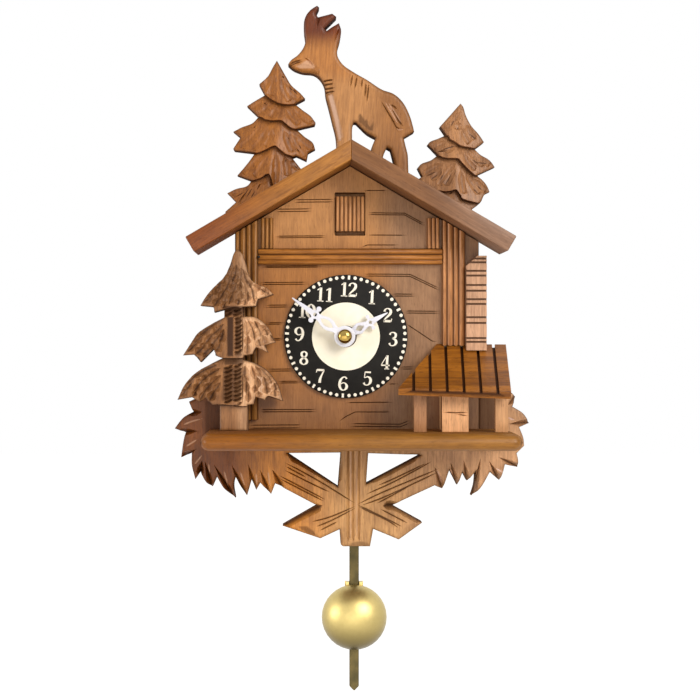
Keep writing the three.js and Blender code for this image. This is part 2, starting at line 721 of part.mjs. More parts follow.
// Tree standing on the shelf in front of the left corner
const yardTreeShares = [
  [0.568, 1], [0.607, 0.981], [0.639, 0.936], [0.697, 0.834], [0.762, 0.807], [0.84, 0.789], [0.91, 0.753],
  [0.762, 0.725], [0.742, 0.687], [0.62, 0.683], [0.62, 0.63], [0.736, 0.626], [0.84, 0.581],
  [0.93, 0.487], [0.826, 0.471], [0.858, 0.43], [0.749, 0.46], [0.71, 0.422], [0.632, 0.415],
  [0.62, 0.391], [0.736, 0.37], [0.84, 0.332], [0.943, 0.256], [1, 0.162], [0.853, 0.188],
  [0.826, 0.17], [0.742, 0.188], [0.723, 0.147], [0.666, 0.143], [0.666, 0], [0.401, 0],
  [0.401, 0.143], [0.335, 0.143], [0.271, 0.181], [0.212, 0.158], [0.141, 0.184], [0, 0.17],
  [0.063, 0.249], [0.167, 0.317], [0.322, 0.37], [0.425, 0.4], [0.36, 0.415], [0.348, 0.453],
  [0.219, 0.377], [0.16, 0.419], [0.053, 0.415], [0.167, 0.52], [0.322, 0.589], [0.443, 0.625],
  [0.443, 0.668], [0.348, 0.653], [0.342, 0.683], [0.219, 0.69], [0.271, 0.74], [0.36, 0.8],
  [0.439, 0.845], [0.503, 0.921], [0.542, 0.985],
];
const yardTreeBack = front - postThick - seatGap;
const yardTreePoints = outline(yardTreeShares, yardTreeX, shelfTop, yardTreeWidth, yardTreeHeight).reverse();
add(clock, 'yard_tree', plate(yardTreePoints, yardTreeBack - yardTreeThick, yardTreeBack), carvedWood);

// Dial: a disc with a small step round its edge
const dialFront = front - dialThick;
const dialProfile = [
  [dialBore, dialFront],
  [dialRadius - dialRim, dialFront],
  [dialRadius - dialRim, dialFront + dialRim],
  [dialRadius, dialFront + dialRim],
  [dialRadius, front],
  [dialBore, front],
  [dialBore, dialFront],
];
add(clock, 'dial', turned(dialProfile, dialX, 0, fineSides), blackPlastic);

// Movement plate with its bush, and the rear shell with the open cell bay
const plateBack = frontBack + plateThick;
const shellBack = plateBack + shellDepth;
const moveLeft = arborX - moveWidth / 2;
const moveRight = arborX + moveWidth / 2;
const moveTop = moveHeight / 2;
const setDistance = module * (cannonTeeth + minuteWheelTeeth) / 2;
const setX = arborX - setDistance;
let movePlate = block(moveLeft, moveRight, frontBack, plateBack, -moveTop, moveTop);
movePlate = movePlate.add(rod(bushRadius, frontBack - bushReach, frontBack, arborX, 0));
const bushFront = frontBack - bushReach - overrun;
const pipeHole = rod(pipeRadius + runGap, bushFront, plateBack + overrun, arborX, 0);
const pivotHole = rod(pivotRadius + runGap, plateBack - plateThick / 2, plateBack + overrun, setX, 0);
movePlate = movePlate.subtract(pipeHole).subtract(pivotHole);
for (const side of [-1, 1]) {
  const x = arborX + side * fixingX;
  const hole = rod(screwShank + hubGap, frontBack - overrun, plateBack + overrun, x, fixingZ);
  movePlate = movePlate.subtract(hole);
}
add(clock, 'movement_plate', movePlate, greyPlastic);

const bayTop = -moveTop + shellWall + bayHeight;
const shellPoints = [
  [moveLeft, -moveTop],
  [moveRight, -moveTop],
  [moveRight, moveTop - moveCorner],
  [moveRight - moveCorner, moveTop],
  [moveLeft + moveCorner, moveTop],
  [moveLeft, moveTop - moveCorner],
];
const roomPoints = [
  [moveLeft + shellWall, bayTop + shellWall],
  [moveRight - shellWall, bayTop + shellWall],
  [moveRight - shellWall, moveTop - moveCorner - shellWall],
  [moveRight - moveCorner - shellWall, moveTop - shellWall],
  [moveLeft + moveCorner + shellWall, moveTop - shellWall],
  [moveLeft + shellWall, moveTop - moveCorner - shellWall],
];
const roomBack = shellBack - shellWall;
let shell = plate(shellPoints, plateBack, shellBack);
shell = shell.subtract(plate(roomPoints, plateBack - overrun, roomBack));
shell = shell.subtract(block(moveLeft + shellWall, moveRight - shellWall, plateBack + bayFloor,
  shellBack + overrun, -moveTop + shellWall, bayTop));
const bearingDepth = 2;
shell = shell.add(rod(2 * arborRadius, roomBack - bearingDepth, roomBack, arborX, 0));
shell = shell.subtract(rod(pivotRadius + runGap, roomBack - bearingDepth - overrun, roomBack, arborX, 0));
shell = shell.subtract(rod(setShaftRadius + runGap, roomBack - overrun, shellBack + overrun, setX, 0));
const pinBack = shellBack + hangerGap + hangerThick + rodGap;
shell = shell.add(rod(2 * hangerPin, shellBack, shellBack + hangerGap - rodGap, pendulumX, hangerZ));
shell = shell.add(rod(hangerPin, shellBack, pinBack, pendulumX, hangerZ));
add(clock, 'movement_shell', shell, greyPlastic);
add(clock, 'pivot_cap', rod(pinHead, pinBack, pinBack + pinHeadThick, pendulumX, hangerZ), steelMetal);

for (const [name, side] of [['left', -1], ['right', 1]]) {
  const x = arborX + side * fixingX;
  const head = rod(screwHead, plateBack, plateBack + screwHeadThick, x, fixingZ);
  const shank = rod(screwShank, screwTip, plateBack, x, fixingZ);
  add(clock, `movement_screw_${name}`, head.add(shank), steelMetal);
}

// Electric parts on the plate and in the bay
add(clock, 'circuit_board', block(moveLeft + boardInset, moveLeft + boardInset + boardWidth, plateBack,
  plateBack + boardThick, boardFoot, boardFoot + boardHeight), greenBoard);

function alongX(radius, x0, x1, y, z, sides = smallSides) {
  const geometry = new THREE.CylinderGeometry(radius, radius, x1 - x0, sides);
  geometry.rotateZ(Math.PI / 2);
  geometry.translate((x0 + x1) / 2, y, z);
  return solidOf(geometry);
}
const coilLeft = arborX + hubRadius + coilFlange;
const coilRight = moveRight - coilInset;
const coilY = plateBack + coilFlange;
let motorCoil = alongX(coilRadius, coilLeft, coilRight, coilY, coilZ);
motorCoil = motorCoil.add(alongX(coilFlange, coilLeft, coilLeft + coilFlangeThick, coilY, coilZ));
motorCoil = motorCoil.add(alongX(coilFlange, coilRight - coilFlangeThick, coilRight, coilY, coilZ));
add(clock, 'motor_coil', motorCoil, copperMetal);
const driveProfile = [
  [driveCoilRadius / 2, roomBack - driveCoilDepth],
  [driveCoilRadius, roomBack - driveCoilDepth],
  [driveCoilRadius, roomBack],
  [driveCoilRadius / 2, roomBack],
  [driveCoilRadius / 2, roomBack - driveCoilDepth],
];
add(clock, 'pendulum_coil', turned(driveProfile, pendulumX, driveCoilZ), copperMetal);

const cellY = plateBack + bayFloor + seatGap + cellRadius;
const cellZ = -moveTop + shellWall + bayHeight / 2;
const bayLeft = moveLeft + shellWall;
const bayRight = moveRight - shellWall;
const cellLeft = bayLeft + contactReach + seatGap;
const cellRight = bayRight - 2 * contactThick - seatGap - nubLength;
const cell = alongX(cellRadius, cellLeft, cellRight, cellY, cellZ, roundSides)
  .add(alongX(nubRadius, cellLeft + nubLength, cellRight + nubLength, cellY, cellZ));
add(clock, 'battery_cell', cell, steelMetal);
const contactTop = cellZ + bayHeight / 2 - shellWall;
const contactFoot = cellZ - bayHeight / 2;
const contactBack = shellBack - shellWall;
function contactPlate(x) {
  return block(x, x + contactThick, plateBack + bayFloor, contactBack, contactFoot, contactTop);
}
const minusBoss = alongX(contactRadius, bayLeft, bayLeft + contactReach, cellY, cellZ);
add(clock, 'contact_minus', contactPlate(bayLeft).add(minusBoss), steelMetal);
const plusBoss = alongX(nubRadius, bayRight - 2 * contactThick, bayRight, cellY, cellZ);
add(clock, 'contact_plus', contactPlate(bayRight - contactThick).add(plusBoss), steelMetal);

// Motion work: cannon pinion and arbor, hour wheel and pipe, minute wheel with its setting knob
const wheelFront = plateBack + wheelGap;
const pinionFront = wheelFront + wheelThick + wheelGap;
const hourHandBack = dialFront - hourHandGap;
const minuteHandBack = hourHandBack - handThick - minuteHandGap;
const nutFront = minuteHandBack - handThick - nutHeight;
const arborFront = nutFront + nutHeight / 2;
let arbor = rod(arborRadius, arborFront, roomBack - bearingDepth - wheelGap, arborX, 0);
arbor = arbor.add(rod(pivotRadius, roomBack - bearingDepth - wheelGap, roomBack - seatGap, arborX, 0));
arbor = arbor.add(wheel(cannonTeeth, pinionFront, pinionFront + pinionThick, arborX, 0));
add(clock, 'minute_arbor', arbor, brassMetal);

let hourWheel = wheel(hourWheelTeeth, wheelFront, wheelFront + wheelThick, arborX, 0);
hourWheel = hourWheel.add(rod(pipeRadius, hourHandBack - handThick, wheelFront, arborX, 0));
const pipeFront = hourHandBack - handThick - overrun;
hourWheel = hourWheel.subtract(rod(arborRadius + runGap, pipeFront, pinionFront, arborX, 0));
add(clock, 'hour_wheel', hourWheel, brassMetal);

const quarter = Math.PI / 2;
const knobFront = shellBack + knobGap;
let setWheel = wheel(minuteWheelTeeth, pinionFront, pinionFront + pinionThick, setX, 0, quarter);
const setPhase = quarter + Math.PI / minutePinionTeeth;
setWheel = setWheel.add(wheel(minutePinionTeeth, wheelFront, pinionFront, setX, 0, setPhase));
setWheel = setWheel.add(rod(setShaftRadius, wheelFront, knobFront + knobThick / 2, setX, 0));
setWheel = setWheel.add(rod(pivotRadius, plateBack - plateThick / 2 + wheelGap / 2, wheelFront, setX, 0));
add(clock, 'minute_wheel', setWheel, brassMetal);
const knobSides = 16;
const knobSeat = knobFront + knobThick / 2 + hubGap;
const knobBore = rod(setShaftRadius + hubGap, knobFront - overrun, knobSeat, setX, 0);
const knob = rod(knobRadius, knobFront, knobFront + knobThick, setX, 0, knobSides).subtract(knobBore);
add(clock, 'setting_knob', knob, blackPlastic);

// Hands: pierced hub, open leaf-shaped loop, small cross and tapered pointer
const loopStartShare = 0.1;
const loopEndShare = 0.54;
const crossShare = 0.6;
const loopRoundness = 0.8;
function handSolid(length, boreRadius, yFront, yBack) {
  const loopSteps = 12;
  const side = (half, from, to) => {
    const points = [];
    for (let i = 0; i <= loopSteps; i += 1) {
      const t = i / loopSteps;
      points.push([half * Math.sin(Math.PI * t) ** loopRoundness, from + t * (to - from)]);
    }
    const mirrored = points.slice(1, -1).reverse().map(([x, z]) => [-x, z]);
    return [...points, ...mirrored];
  };
  const loopFrom = loopStartShare * length;
  const loopTo = loopEndShare * length;
  const loopOut = plate(side(loopHalf, loopFrom, loopTo), yFront, yBack);
  const innerSide = side(loopHalf - loopWire, loopFrom + loopWire, loopTo - 2 * loopWire);
  const loopIn = plate(innerSide, yFront - overrun, yBack + overrun);
  const crossZ = crossShare * length;
  const pointer = plate([
    [-pointerHalf, loopTo - loopWire],
    [pointerHalf, loopTo - loopWire],
    [pointerHalf, crossZ + crossBar],
    [pointerTip, length],
    [-pointerTip, length],
    [-pointerHalf, crossZ + crossBar],
  ], yFront, yBack);
  const cross = block(-crossHalf, crossHalf, yFront, yBack, crossZ - crossBar / 2, crossZ + crossBar / 2);
  const hub = rod(hubRadius, yFront, yBack, 0, 0, roundSides);
  const body = loopOut.subtract(loopIn).add(pointer).add(cross).add(hub);
  return body.subtract(rod(boreRadius, yFront - overrun, yBack + overrun, 0, 0));
}
const hourSolid = handSolid(hourLength, pipeRadius + hubGap, -handThick, 0);
const hourHand = add(clock, 'hour_hand', hourSolid, whitePlastic);
hourHand.position.set(arborX, hourHandBack, 0);
hourHand.rotation.y = hourAngle;
const minuteSolid = handSolid(minuteLength, arborRadius + hubGap, -handThick, 0);
const minuteHand = add(clock, 'minute_hand', minuteSolid, whitePlastic);
minuteHand.position.set(arborX, minuteHandBack, 0);
minuteHand.rotation.y = minuteAngle;

const domeSteps = 6;
const domeShare = 0.6;
const nutProfile = [];
for (let i = 0; i <= domeSteps; i += 1) {
  const t = i / domeSteps * Math.PI / 2;
  nutProfile.push([nutRadius * Math.sin(t), nutFront + domeShare * nutHeight * (1 - Math.cos(t))]);
}
nutProfile.push([nutRadius, nutFront + nutHeight], [0, nutFront + nutHeight]);
const nutBore = rod(arborRadius + hubGap, arborFront - hubGap, nutFront + nutHeight + overrun, arborX, 0);
add(clock, 'hand_nut', turned(nutProfile, arborX, 0).subtract(nutBore), brassMetal);

// Pendulum: plastic hanger on its pin, flat rod hooked to it, bob with a clip that slides on the rod
const hangerFront = shellBack + hangerGap;
const hangerBack = hangerFront + hangerThick;
const hookZ = hangerZ - hangerReach;
let hanger = rod(hangerRing, hangerFront, hangerBack, pendulumX, hangerZ, roundSides);
hanger = hanger.add(block(pendulumX - hangerWidth / 2, pendulumX + hangerWidth / 2, hangerFront, hangerBack,
  hookZ - hangerWidth / 2, hangerZ));
hanger = hanger.add(rod(hookPeg, hangerFront, hangerBack + 2 * rodGap + rodThick, pendulumX, hookZ));
const pinHole = rod(hangerPin + runGap, hangerFront - overrun, hangerBack + overrun, pendulumX, hangerZ);
hanger = hanger.subtract(pinHole);
add(clock, 'pendulum_hanger', hanger, blackPlastic);

const rodBack = rodY + rodThick;
const rodPoints = [
  [pendulumX - rodWidth / 2, hookZ],
  [pendulumX - rodWidth / 2, rodTip + rodPoint],
  [pendulumX, rodTip],
  [pendulumX + rodWidth / 2, rodTip + rodPoint],
  [pendulumX + rodWidth / 2, hookZ],
];
let pendulumRod = plate(rodPoints, rodY, rodBack);
pendulumRod = pendulumRod.add(rod(rodEye / 2, rodY, rodBack, pendulumX, hookZ));
const pegHole = rod(hookPeg + hubGap, rodY - overrun, rodBack + overrun, pendulumX, hookZ);
pendulumRod = pendulumRod.subtract(pegHole);
add(clock, 'pendulum_rod', pendulumRod, brassMetal);

const bobBack = rodY - seatGap;
const bobSteps = 10;
const bobProfile = [];
for (let i = 0; i <= bobSteps; i += 1) {
  const t = i / bobSteps * Math.PI / 2;
  bobProfile.push([bobRadius * Math.sin(t), bobBack - bobDepth * Math.cos(t)]);
}
bobProfile.push([bobVent, bobBack], [bobVent, bobBack - bobWall]);
for (let i = bobSteps - 1; i >= 0; i -= 1) {
  const t = i / bobSteps * Math.PI / 2;
  const inside = (bobRadius - bobWall) * Math.sin(t);
  bobProfile.push([inside, bobBack - bobWall - (bobDepth - 2 * bobWall) * Math.cos(t)]);
}
add(clock, 'bob_shell', turned(bobProfile, pendulumX, bobZ), brassMetal);

const channelHalf = rodWidth / 2 + clipSide;
const clipBack = rodBack + seatGap;
let clip = block(pendulumX - clipWidth / 2, pendulumX + clipWidth / 2, clipBack, clipBack + clipWall,
  bobZ - clipDrop, bobZ + clipRise);
for (const side of [-1, 1]) {
  const inner = pendulumX + side * channelHalf;
  const outer = pendulumX + side * (channelHalf + clipWall);
  clip = clip.add(block(Math.min(inner, outer), Math.max(inner, outer), bobBack, clipBack,
    bobZ - clipDrop, bobZ + clipRise));
}
add(clock, 'bob_clip', clip, brassMetal);

// Back cover with a service window, a keyhole for the nail and four brads into the side walls
const coverPoints = [
  [caseLeft, floorBottom],
  [caseRight, floorBottom],
  [caseRight, coverUnder(caseRight)],
  [0, coverUnder(0)],
  [caseLeft, coverUnder(caseLeft)],
];
let cover = plate(coverPoints, wallBack, 0);
cover = cover.subtract(block(arborX - windowWidth / 2, arborX + windowWidth / 2, wallBack - overrun, overrun,
  windowFoot, windowFoot + windowHeight));
cover = cover.subtract(rod(nailHole, wallBack - overrun, overrun, 0, nailZ, roundSides));
cover = cover.subtract(block(-nailSlot, nailSlot, wallBack - overrun, overrun, nailZ, nailZ + nailRise));
cover = cover.subtract(rod(nailSlot, wallBack - overrun, overrun, 0, nailZ + nailRise));
for (const [side, x] of bradX.entries()) {
  for (const [level, z] of bradZ.entries()) {
    const shank = rod(bradShank, -bradLength, 0, x, z);
    const head = rod(bradHead, -bradHeadThick, 0, x, z);
    cover = cover.subtract(rod(bradShank + hubGap, wallBack - overrun, overrun, x, z));
    cover = cover.subtract(rod(bradHead + hubGap, -bradHeadThick, overrun, x, z));
    const name = `brad_${['lower', 'upper'][level]}_${['left', 'right'][side]}`;
    add(clock, name, shank.add(head), steelMetal);
  }
}
add(clock, 'back_cover', cover, boardWood);

export default clock;
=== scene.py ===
import bmesh
import bpy
import math
import numpy as np
import random
from mathutils import Matrix, Vector
from mathutils.geometry import delaunay_2d_cdt


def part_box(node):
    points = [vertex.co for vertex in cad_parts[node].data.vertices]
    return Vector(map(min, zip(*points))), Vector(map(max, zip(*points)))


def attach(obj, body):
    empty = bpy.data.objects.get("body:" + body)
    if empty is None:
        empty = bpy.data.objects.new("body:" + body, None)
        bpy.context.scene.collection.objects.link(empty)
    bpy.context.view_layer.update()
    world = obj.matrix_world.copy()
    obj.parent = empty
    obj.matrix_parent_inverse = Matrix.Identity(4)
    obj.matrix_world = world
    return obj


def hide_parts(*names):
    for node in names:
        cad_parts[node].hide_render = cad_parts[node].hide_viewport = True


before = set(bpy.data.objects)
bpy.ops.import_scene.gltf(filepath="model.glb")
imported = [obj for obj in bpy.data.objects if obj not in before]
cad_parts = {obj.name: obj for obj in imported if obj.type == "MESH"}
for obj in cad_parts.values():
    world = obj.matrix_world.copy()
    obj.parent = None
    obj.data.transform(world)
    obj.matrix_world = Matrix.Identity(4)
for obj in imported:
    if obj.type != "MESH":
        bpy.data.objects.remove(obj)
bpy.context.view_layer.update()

# The photographer's place: close to the clock, a little left of it, with the lens shifted
# so that the clock stands upright in a square picture. Lengths in metres.
eye = Vector((-0.013, -0.440, -0.0022))
picture_side = 700
picture_centre = (300, 345)
picture_focus = 1538
sensor = 36
camera_data = bpy.data.cameras.new("camera")
camera_data.sensor_width = sensor
camera_data.lens = sensor * picture_focus / picture_side
camera_data.shift_x = 0.5 - picture_centre[0] / picture_side
camera_data.shift_y = picture_centre[1] / picture_side - 0.5
camera_data.clip_start = 0.01
camera = bpy.data.objects.new("camera", camera_data)
camera.location = eye
camera.rotation_euler = (math.radians(90), 0, 0)
bpy.context.scene.collection.objects.link(camera)
bpy.context.scene.camera = camera
bpy.context.scene.view_settings.view_transform = "Standard"


def seen_at(x, y, depth):
    """X and Z of the point on the plane Y = depth that the picture shows at pixel x, y."""
    size = (depth - eye.y) / picture_focus
    return eye.x + (x - picture_centre[0]) * size, eye.z + (picture_centre[1] - y) * size


def traced(spots, depth):
    """The points (x, z) on the plane Y = depth that the picture shows at a list of pixels."""
    return [seen_at(x, y, depth) for x, y in spots]


# Studio: a white room seen by the camera and by gloss, a softer one for the light itself,
# a lamp at the upper right, weaker ones at the left and low in front, and a pale floor below.
def seen_rays(tree):
    """One for rays from the camera, off gloss and through glass, and nothing for the rest."""
    rays = tree.nodes.new("ShaderNodeLightPath")
    glossy_or_glass = tree.nodes.new("ShaderNodeMath")
    glossy_or_glass.operation = "MAXIMUM"
    seen = tree.nodes.new("ShaderNodeMath")
    seen.operation = "MAXIMUM"
    tree.links.new(rays.outputs["Is Glossy Ray"], glossy_or_glass.inputs[0])
    tree.links.new(rays.outputs["Is Transmission Ray"], glossy_or_glass.inputs[1])
    tree.links.new(rays.outputs["Is Camera Ray"], seen.inputs[0])
    tree.links.new(glossy_or_glass.outputs[0], seen.inputs[1])
    return seen.outputs[0]


room_level = 0.30
world = bpy.data.worlds.new("studio")
bpy.context.scene.world = world
world.use_nodes = True
tree = world.node_tree
tree.nodes.clear()
plain = tree.nodes.new("ShaderNodeBackground")
plain.inputs["Color"].default_value = (1.0, 0.96, 0.90, 1)
plain.inputs["Strength"].default_value = room_level
white = tree.nodes.new("ShaderNodeBackground")
white.inputs["Color"].default_value = (1, 1, 1, 1)
white.inputs["Strength"].default_value = 1
either = tree.nodes.new("ShaderNodeMixShader")
output = tree.nodes.new("ShaderNodeOutputWorld")
tree.links.new(seen_rays(tree), either.inputs["Fac"])
tree.links.new(plain.outputs[0], either.inputs[1])
tree.links.new(white.outputs[0], either.inputs[2])
tree.links.new(either.outputs[0], output.inputs["Surface"])

lamps = {
    "key_lamp": ((0.44, -0.72, 0.34), 0.42, 5.9, (1.0, 0.97, 0.92)),
    "low_lamp": ((-0.10, -0.80, -0.30), 0.80, 3.4, (1.0, 0.96, 0.90)),
    "left_lamp": ((-0.82, -0.36, 0.08), 0.40, 3.4, (1.0, 0.97, 0.92)),
}
for lamp_name, (place, side, power, colour) in lamps.items():
    lamp_data = bpy.data.lights.new(lamp_name, "AREA")
    lamp_data.size = side
    lamp_data.energy = power
    lamp_data.color = colour
    lamp = bpy.data.objects.new(lamp_name, lamp_data)
    lamp.location = place
    lamp.rotation_euler = (Vector((0, -0.03, 0)) - Vector(place)).to_track_quat("-Z", "Y").to_euler()
    bpy.context.scene.collection.objects.link(lamp)

floor_height = -0.32
floor_side = 8
bpy.ops.object.select_all(action="DESELECT")
bpy.ops.mesh.primitive_plane_add(size=floor_side, location=(0, 0, floor_height))
studio_floor = bpy.context.object
studio_floor.name = "studio_floor"
floor_look = bpy.data.materials.new("studio_paper")
floor_look.use_nodes = True
tree = floor_look.node_tree
tree.nodes.clear()
paper = tree.nodes.new("ShaderNodeBsdfDiffuse")
paper.inputs["Color"].default_value = (0.80, 0.79, 0.77, 1)
glow = tree.nodes.new("ShaderNodeEmission")
glow.inputs["Color"].default_value = (1, 1, 1, 1)
glow.inputs["Strength"].default_value = 0.85
both = tree.nodes.new("ShaderNodeAddShader")
either = tree.nodes.new("ShaderNodeMixShader")
output = tree.nodes.new("ShaderNodeOutputMaterial")
tree.links.new(seen_rays(tree), either.inputs["Fac"])
tree.links.new(paper.outputs[0], both.inputs[0])
tree.links.new(glow.outputs[0], both.inputs[1])
tree.links.new(paper.outputs[0], either.inputs[1])
tree.links.new(both.outputs[0], either.inputs[2])
tree.links.new(either.outputs[0], output.inputs["Surface"])
studio_floor.data.materials.append(floor_look)


# Case: two side walls and a floor, glued from thin limewood boards and stained brown.
# The stain is laid on by hand under a satin lacquer, so the grain shows through it.
case_edge = 0.00025
mm = 1000


def paint(red, green, blue):
    """A picture colour, from 0 to 255, as the light that a shader works with."""
    parts = (red, green, blue)
    return (*(((c / 255 + 0.055) / 1.055) ** 2.4 if c > 10 else c / 3295 for c in parts), 1)


def new_group(name, inputs, outputs):
    """An empty node group with named sockets, and its input and output nodes."""
    group = bpy.data.node_groups.new(name, "ShaderNodeTree")
    for socket, kind, default in inputs:
        made = group.interface.new_socket(name=socket, in_out="INPUT", socket_type="NodeSocket" + kind)
        if default is not None:
            made.default_value = default
    for socket, kind in outputs:
        group.interface.new_socket(name=socket, in_out="OUTPUT", socket_type="NodeSocket" + kind)
    return group, group.nodes.new("NodeGroupInput"), group.nodes.new("NodeGroupOutput")


def stretched_noise(tree, place, stretch, scale, detail, distortion=0.0):
    """Noise drawn out along the grain; stretch is how much each axis counts."""
    scaled = tree.nodes.new("ShaderNodeVectorMath")
    scaled.operation = "MULTIPLY"
    scaled.inputs[1].default_value = stretch
    noise = tree.nodes.new("ShaderNodeTexNoise")
    noise.inputs["Scale"].default_value = scale
    noise.inputs["Detail"].default_value = detail
    noise.inputs["Distortion"].default_value = distortion
    tree.links.new(place, scaled.inputs[0])
    tree.links.new(scaled.outputs[0], noise.inputs["Vector"])
    return noise.outputs["Fac"]


def reckon(tree, operation, first, second=None, third=None):
    """One Math node; each value is a socket or a number."""
    node = tree.nodes.new("ShaderNodeMath")
    node.operation = operation
    for index, value in enumerate((first, second, third)):
        if value is None:
            continue
        if isinstance(value, (int, float)):
            node.inputs[index].default_value = value
        else:
            tree.links.new(value, node.inputs[index])
    return node.outputs[0]


def blended(tree, factor, first, second, mode="MIX"):
    """One colour Mix node; each value is a socket or a colour."""
    node = tree.nodes.new("ShaderNodeMix")
    node.data_type = "RGBA"
    node.blend_type = mode
    node.clamp_factor = True
    for index, value in ((0, factor), (6, first), (7, second)):
        if isinstance(value, (int, float, tuple)):
            node.inputs[index].default_value = value
        else:
            tree.links.new(value, node.inputs[index])
    return node.outputs[2]


def ranged(tree, value, low, high, to_low=0.0, to_high=1.0):
    """A Map Range node with smooth ends."""
    node = tree.nodes.new("ShaderNodeMapRange")
    node.interpolation_type = "SMOOTHSTEP"
    node.inputs["From Min"].default_value = low
    node.inputs["From Max"].default_value = high
    node.inputs["To Min"].default_value = to_low
    node.inputs["To Max"].default_value = to_high
    tree.links.new(value, node.inputs["Value"])
    return node.outputs["Result"]


stained_wood, given, made = new_group(
    "stained_wood",
    [
        ("Place", "Vector", None),
        ("Tone", "Color", (0.5, 0.3, 0.1, 1)),
        ("Contrast", "Float", 1.0),
        ("Bands", "Float", 0.6),
        ("Pores", "Float", 0.5),
        ("Tooled", "Float", 0.0),
        ("Cut", "Float", 0.0),
    ],
    [("Colour", "Color"), ("Roughness", "Float"), ("Height", "Float"), ("Gloss", "Float")],
)
place = given.outputs["Place"]
light = blended(stained_wood, 1.0, given.outputs["Tone"], (1.42, 1.42, 1.36, 1), "MULTIPLY")
dark = blended(stained_wood, 1.0, given.outputs["Tone"], (0.60, 0.53, 0.46, 1), "MULTIPLY")
fibre = stretched_noise(stained_wood, place, (1, 1, 0.07), 2.6, 4, 0.2)
bands = stretched_noise(stained_wood, place, (0.33, 0.33, 0.022), 1.0, 3, 1.4)
pore_noise = stretched_noise(stained_wood, place, (1, 1, 0.13), 4.2, 1)
blotches = stretched_noise(stained_wood, place, (0.12, 0.12, 0.08), 1.0, 2)
mottle = stretched_noise(stained_wood, place, (0.55, 0.55, 0.22), 1.0, 3, 0.4)
pores = ranged(stained_wood, pore_noise, 0.58, 0.72)
tone = reckon(stained_wood, "MULTIPLY_ADD", fibre, 1.5, -0.75)
band_tone = reckon(stained_wood, "SUBTRACT", bands, 0.5)
band_tone = reckon(stained_wood, "MULTIPLY", band_tone, given.outputs["Bands"])
mottle_tone = reckon(stained_wood, "MULTIPLY_ADD", mottle, 0.9, -0.45)
share = reckon(stained_wood, "ADD", tone, band_tone)
share = reckon(stained_wood, "ADD", share, reckon(stained_wood, "ADD", blotches, mottle_tone))
share = reckon(stained_wood, "SUBTRACT", share, 0.5)
share = reckon(stained_wood, "MULTIPLY", share, given.outputs["Contrast"])
figure = blended(stained_wood, reckon(stained_wood, "ADD", share, 0.5), dark, light)
pore_share = reckon(stained_wood, "MULTIPLY", pores, given.outputs["Pores"])
pored = blended(stained_wood, pore_share, figure, dark)
deep = blended(stained_wood, 1.0, given.outputs["Tone"], (0.17, 0.13, 0.10, 1), "MULTIPLY")
bare = blended(stained_wood, 1.0, given.outputs["Tone"], (1.30, 1.65, 2.90, 1), "MULTIPLY")
bare = blended(stained_wood, 0.6, bare, paint(200, 156, 128))
# Cut pulls the wood toward a deep colour: stain in cuts and on sawn edges, and on carved boards also painted
# shade under tier lips and in some washes. Below zero it shows bare wood.
cut_share = ranged(stained_wood, given.outputs["Cut"], 0.0, 1.0)
bare_share = ranged(stained_wood, reckon(stained_wood, "MULTIPLY", given.outputs["Cut"], -1.0), 0.0, 1.0)
cut_colour = blended(stained_wood, cut_share, blended(stained_wood, bare_share, pored, bare), deep)
stained_wood.links.new(cut_colour, made.inputs["Colour"])
roughness = reckon(stained_wood, "MULTIPLY_ADD", fibre, 0.16, 0.34)
roughness = reckon(stained_wood, "MULTIPLY_ADD", pore_share, 0.2, roughness)
roughness = reckon(stained_wood, "MULTIPLY_ADD", cut_share, 0.25, roughness)
stained_wood.links.new(roughness, made.inputs["Roughness"])
relief_height = reckon(stained_wood, "MULTIPLY", fibre, 0.6)
relief_height = reckon(stained_wood, "MULTIPLY_ADD", pore_share, -0.8, relief_height)
knife_work = stretched_noise(stained_wood, place, (0.8, 0.8, 0.35), 1.0, 2, 0.6)
tooled_height = reckon(stained_wood, "MULTIPLY", knife_work, given.outputs["Tooled"])
stained_wood.links.new(reckon(stained_wood, "ADD", relief_height, tooled_height), made.inputs["Height"])
stained_wood.links.new(reckon(stained_wood, "MULTIPLY_ADD", cut_share, -0.85, 1.0), made.inputs["Gloss"])


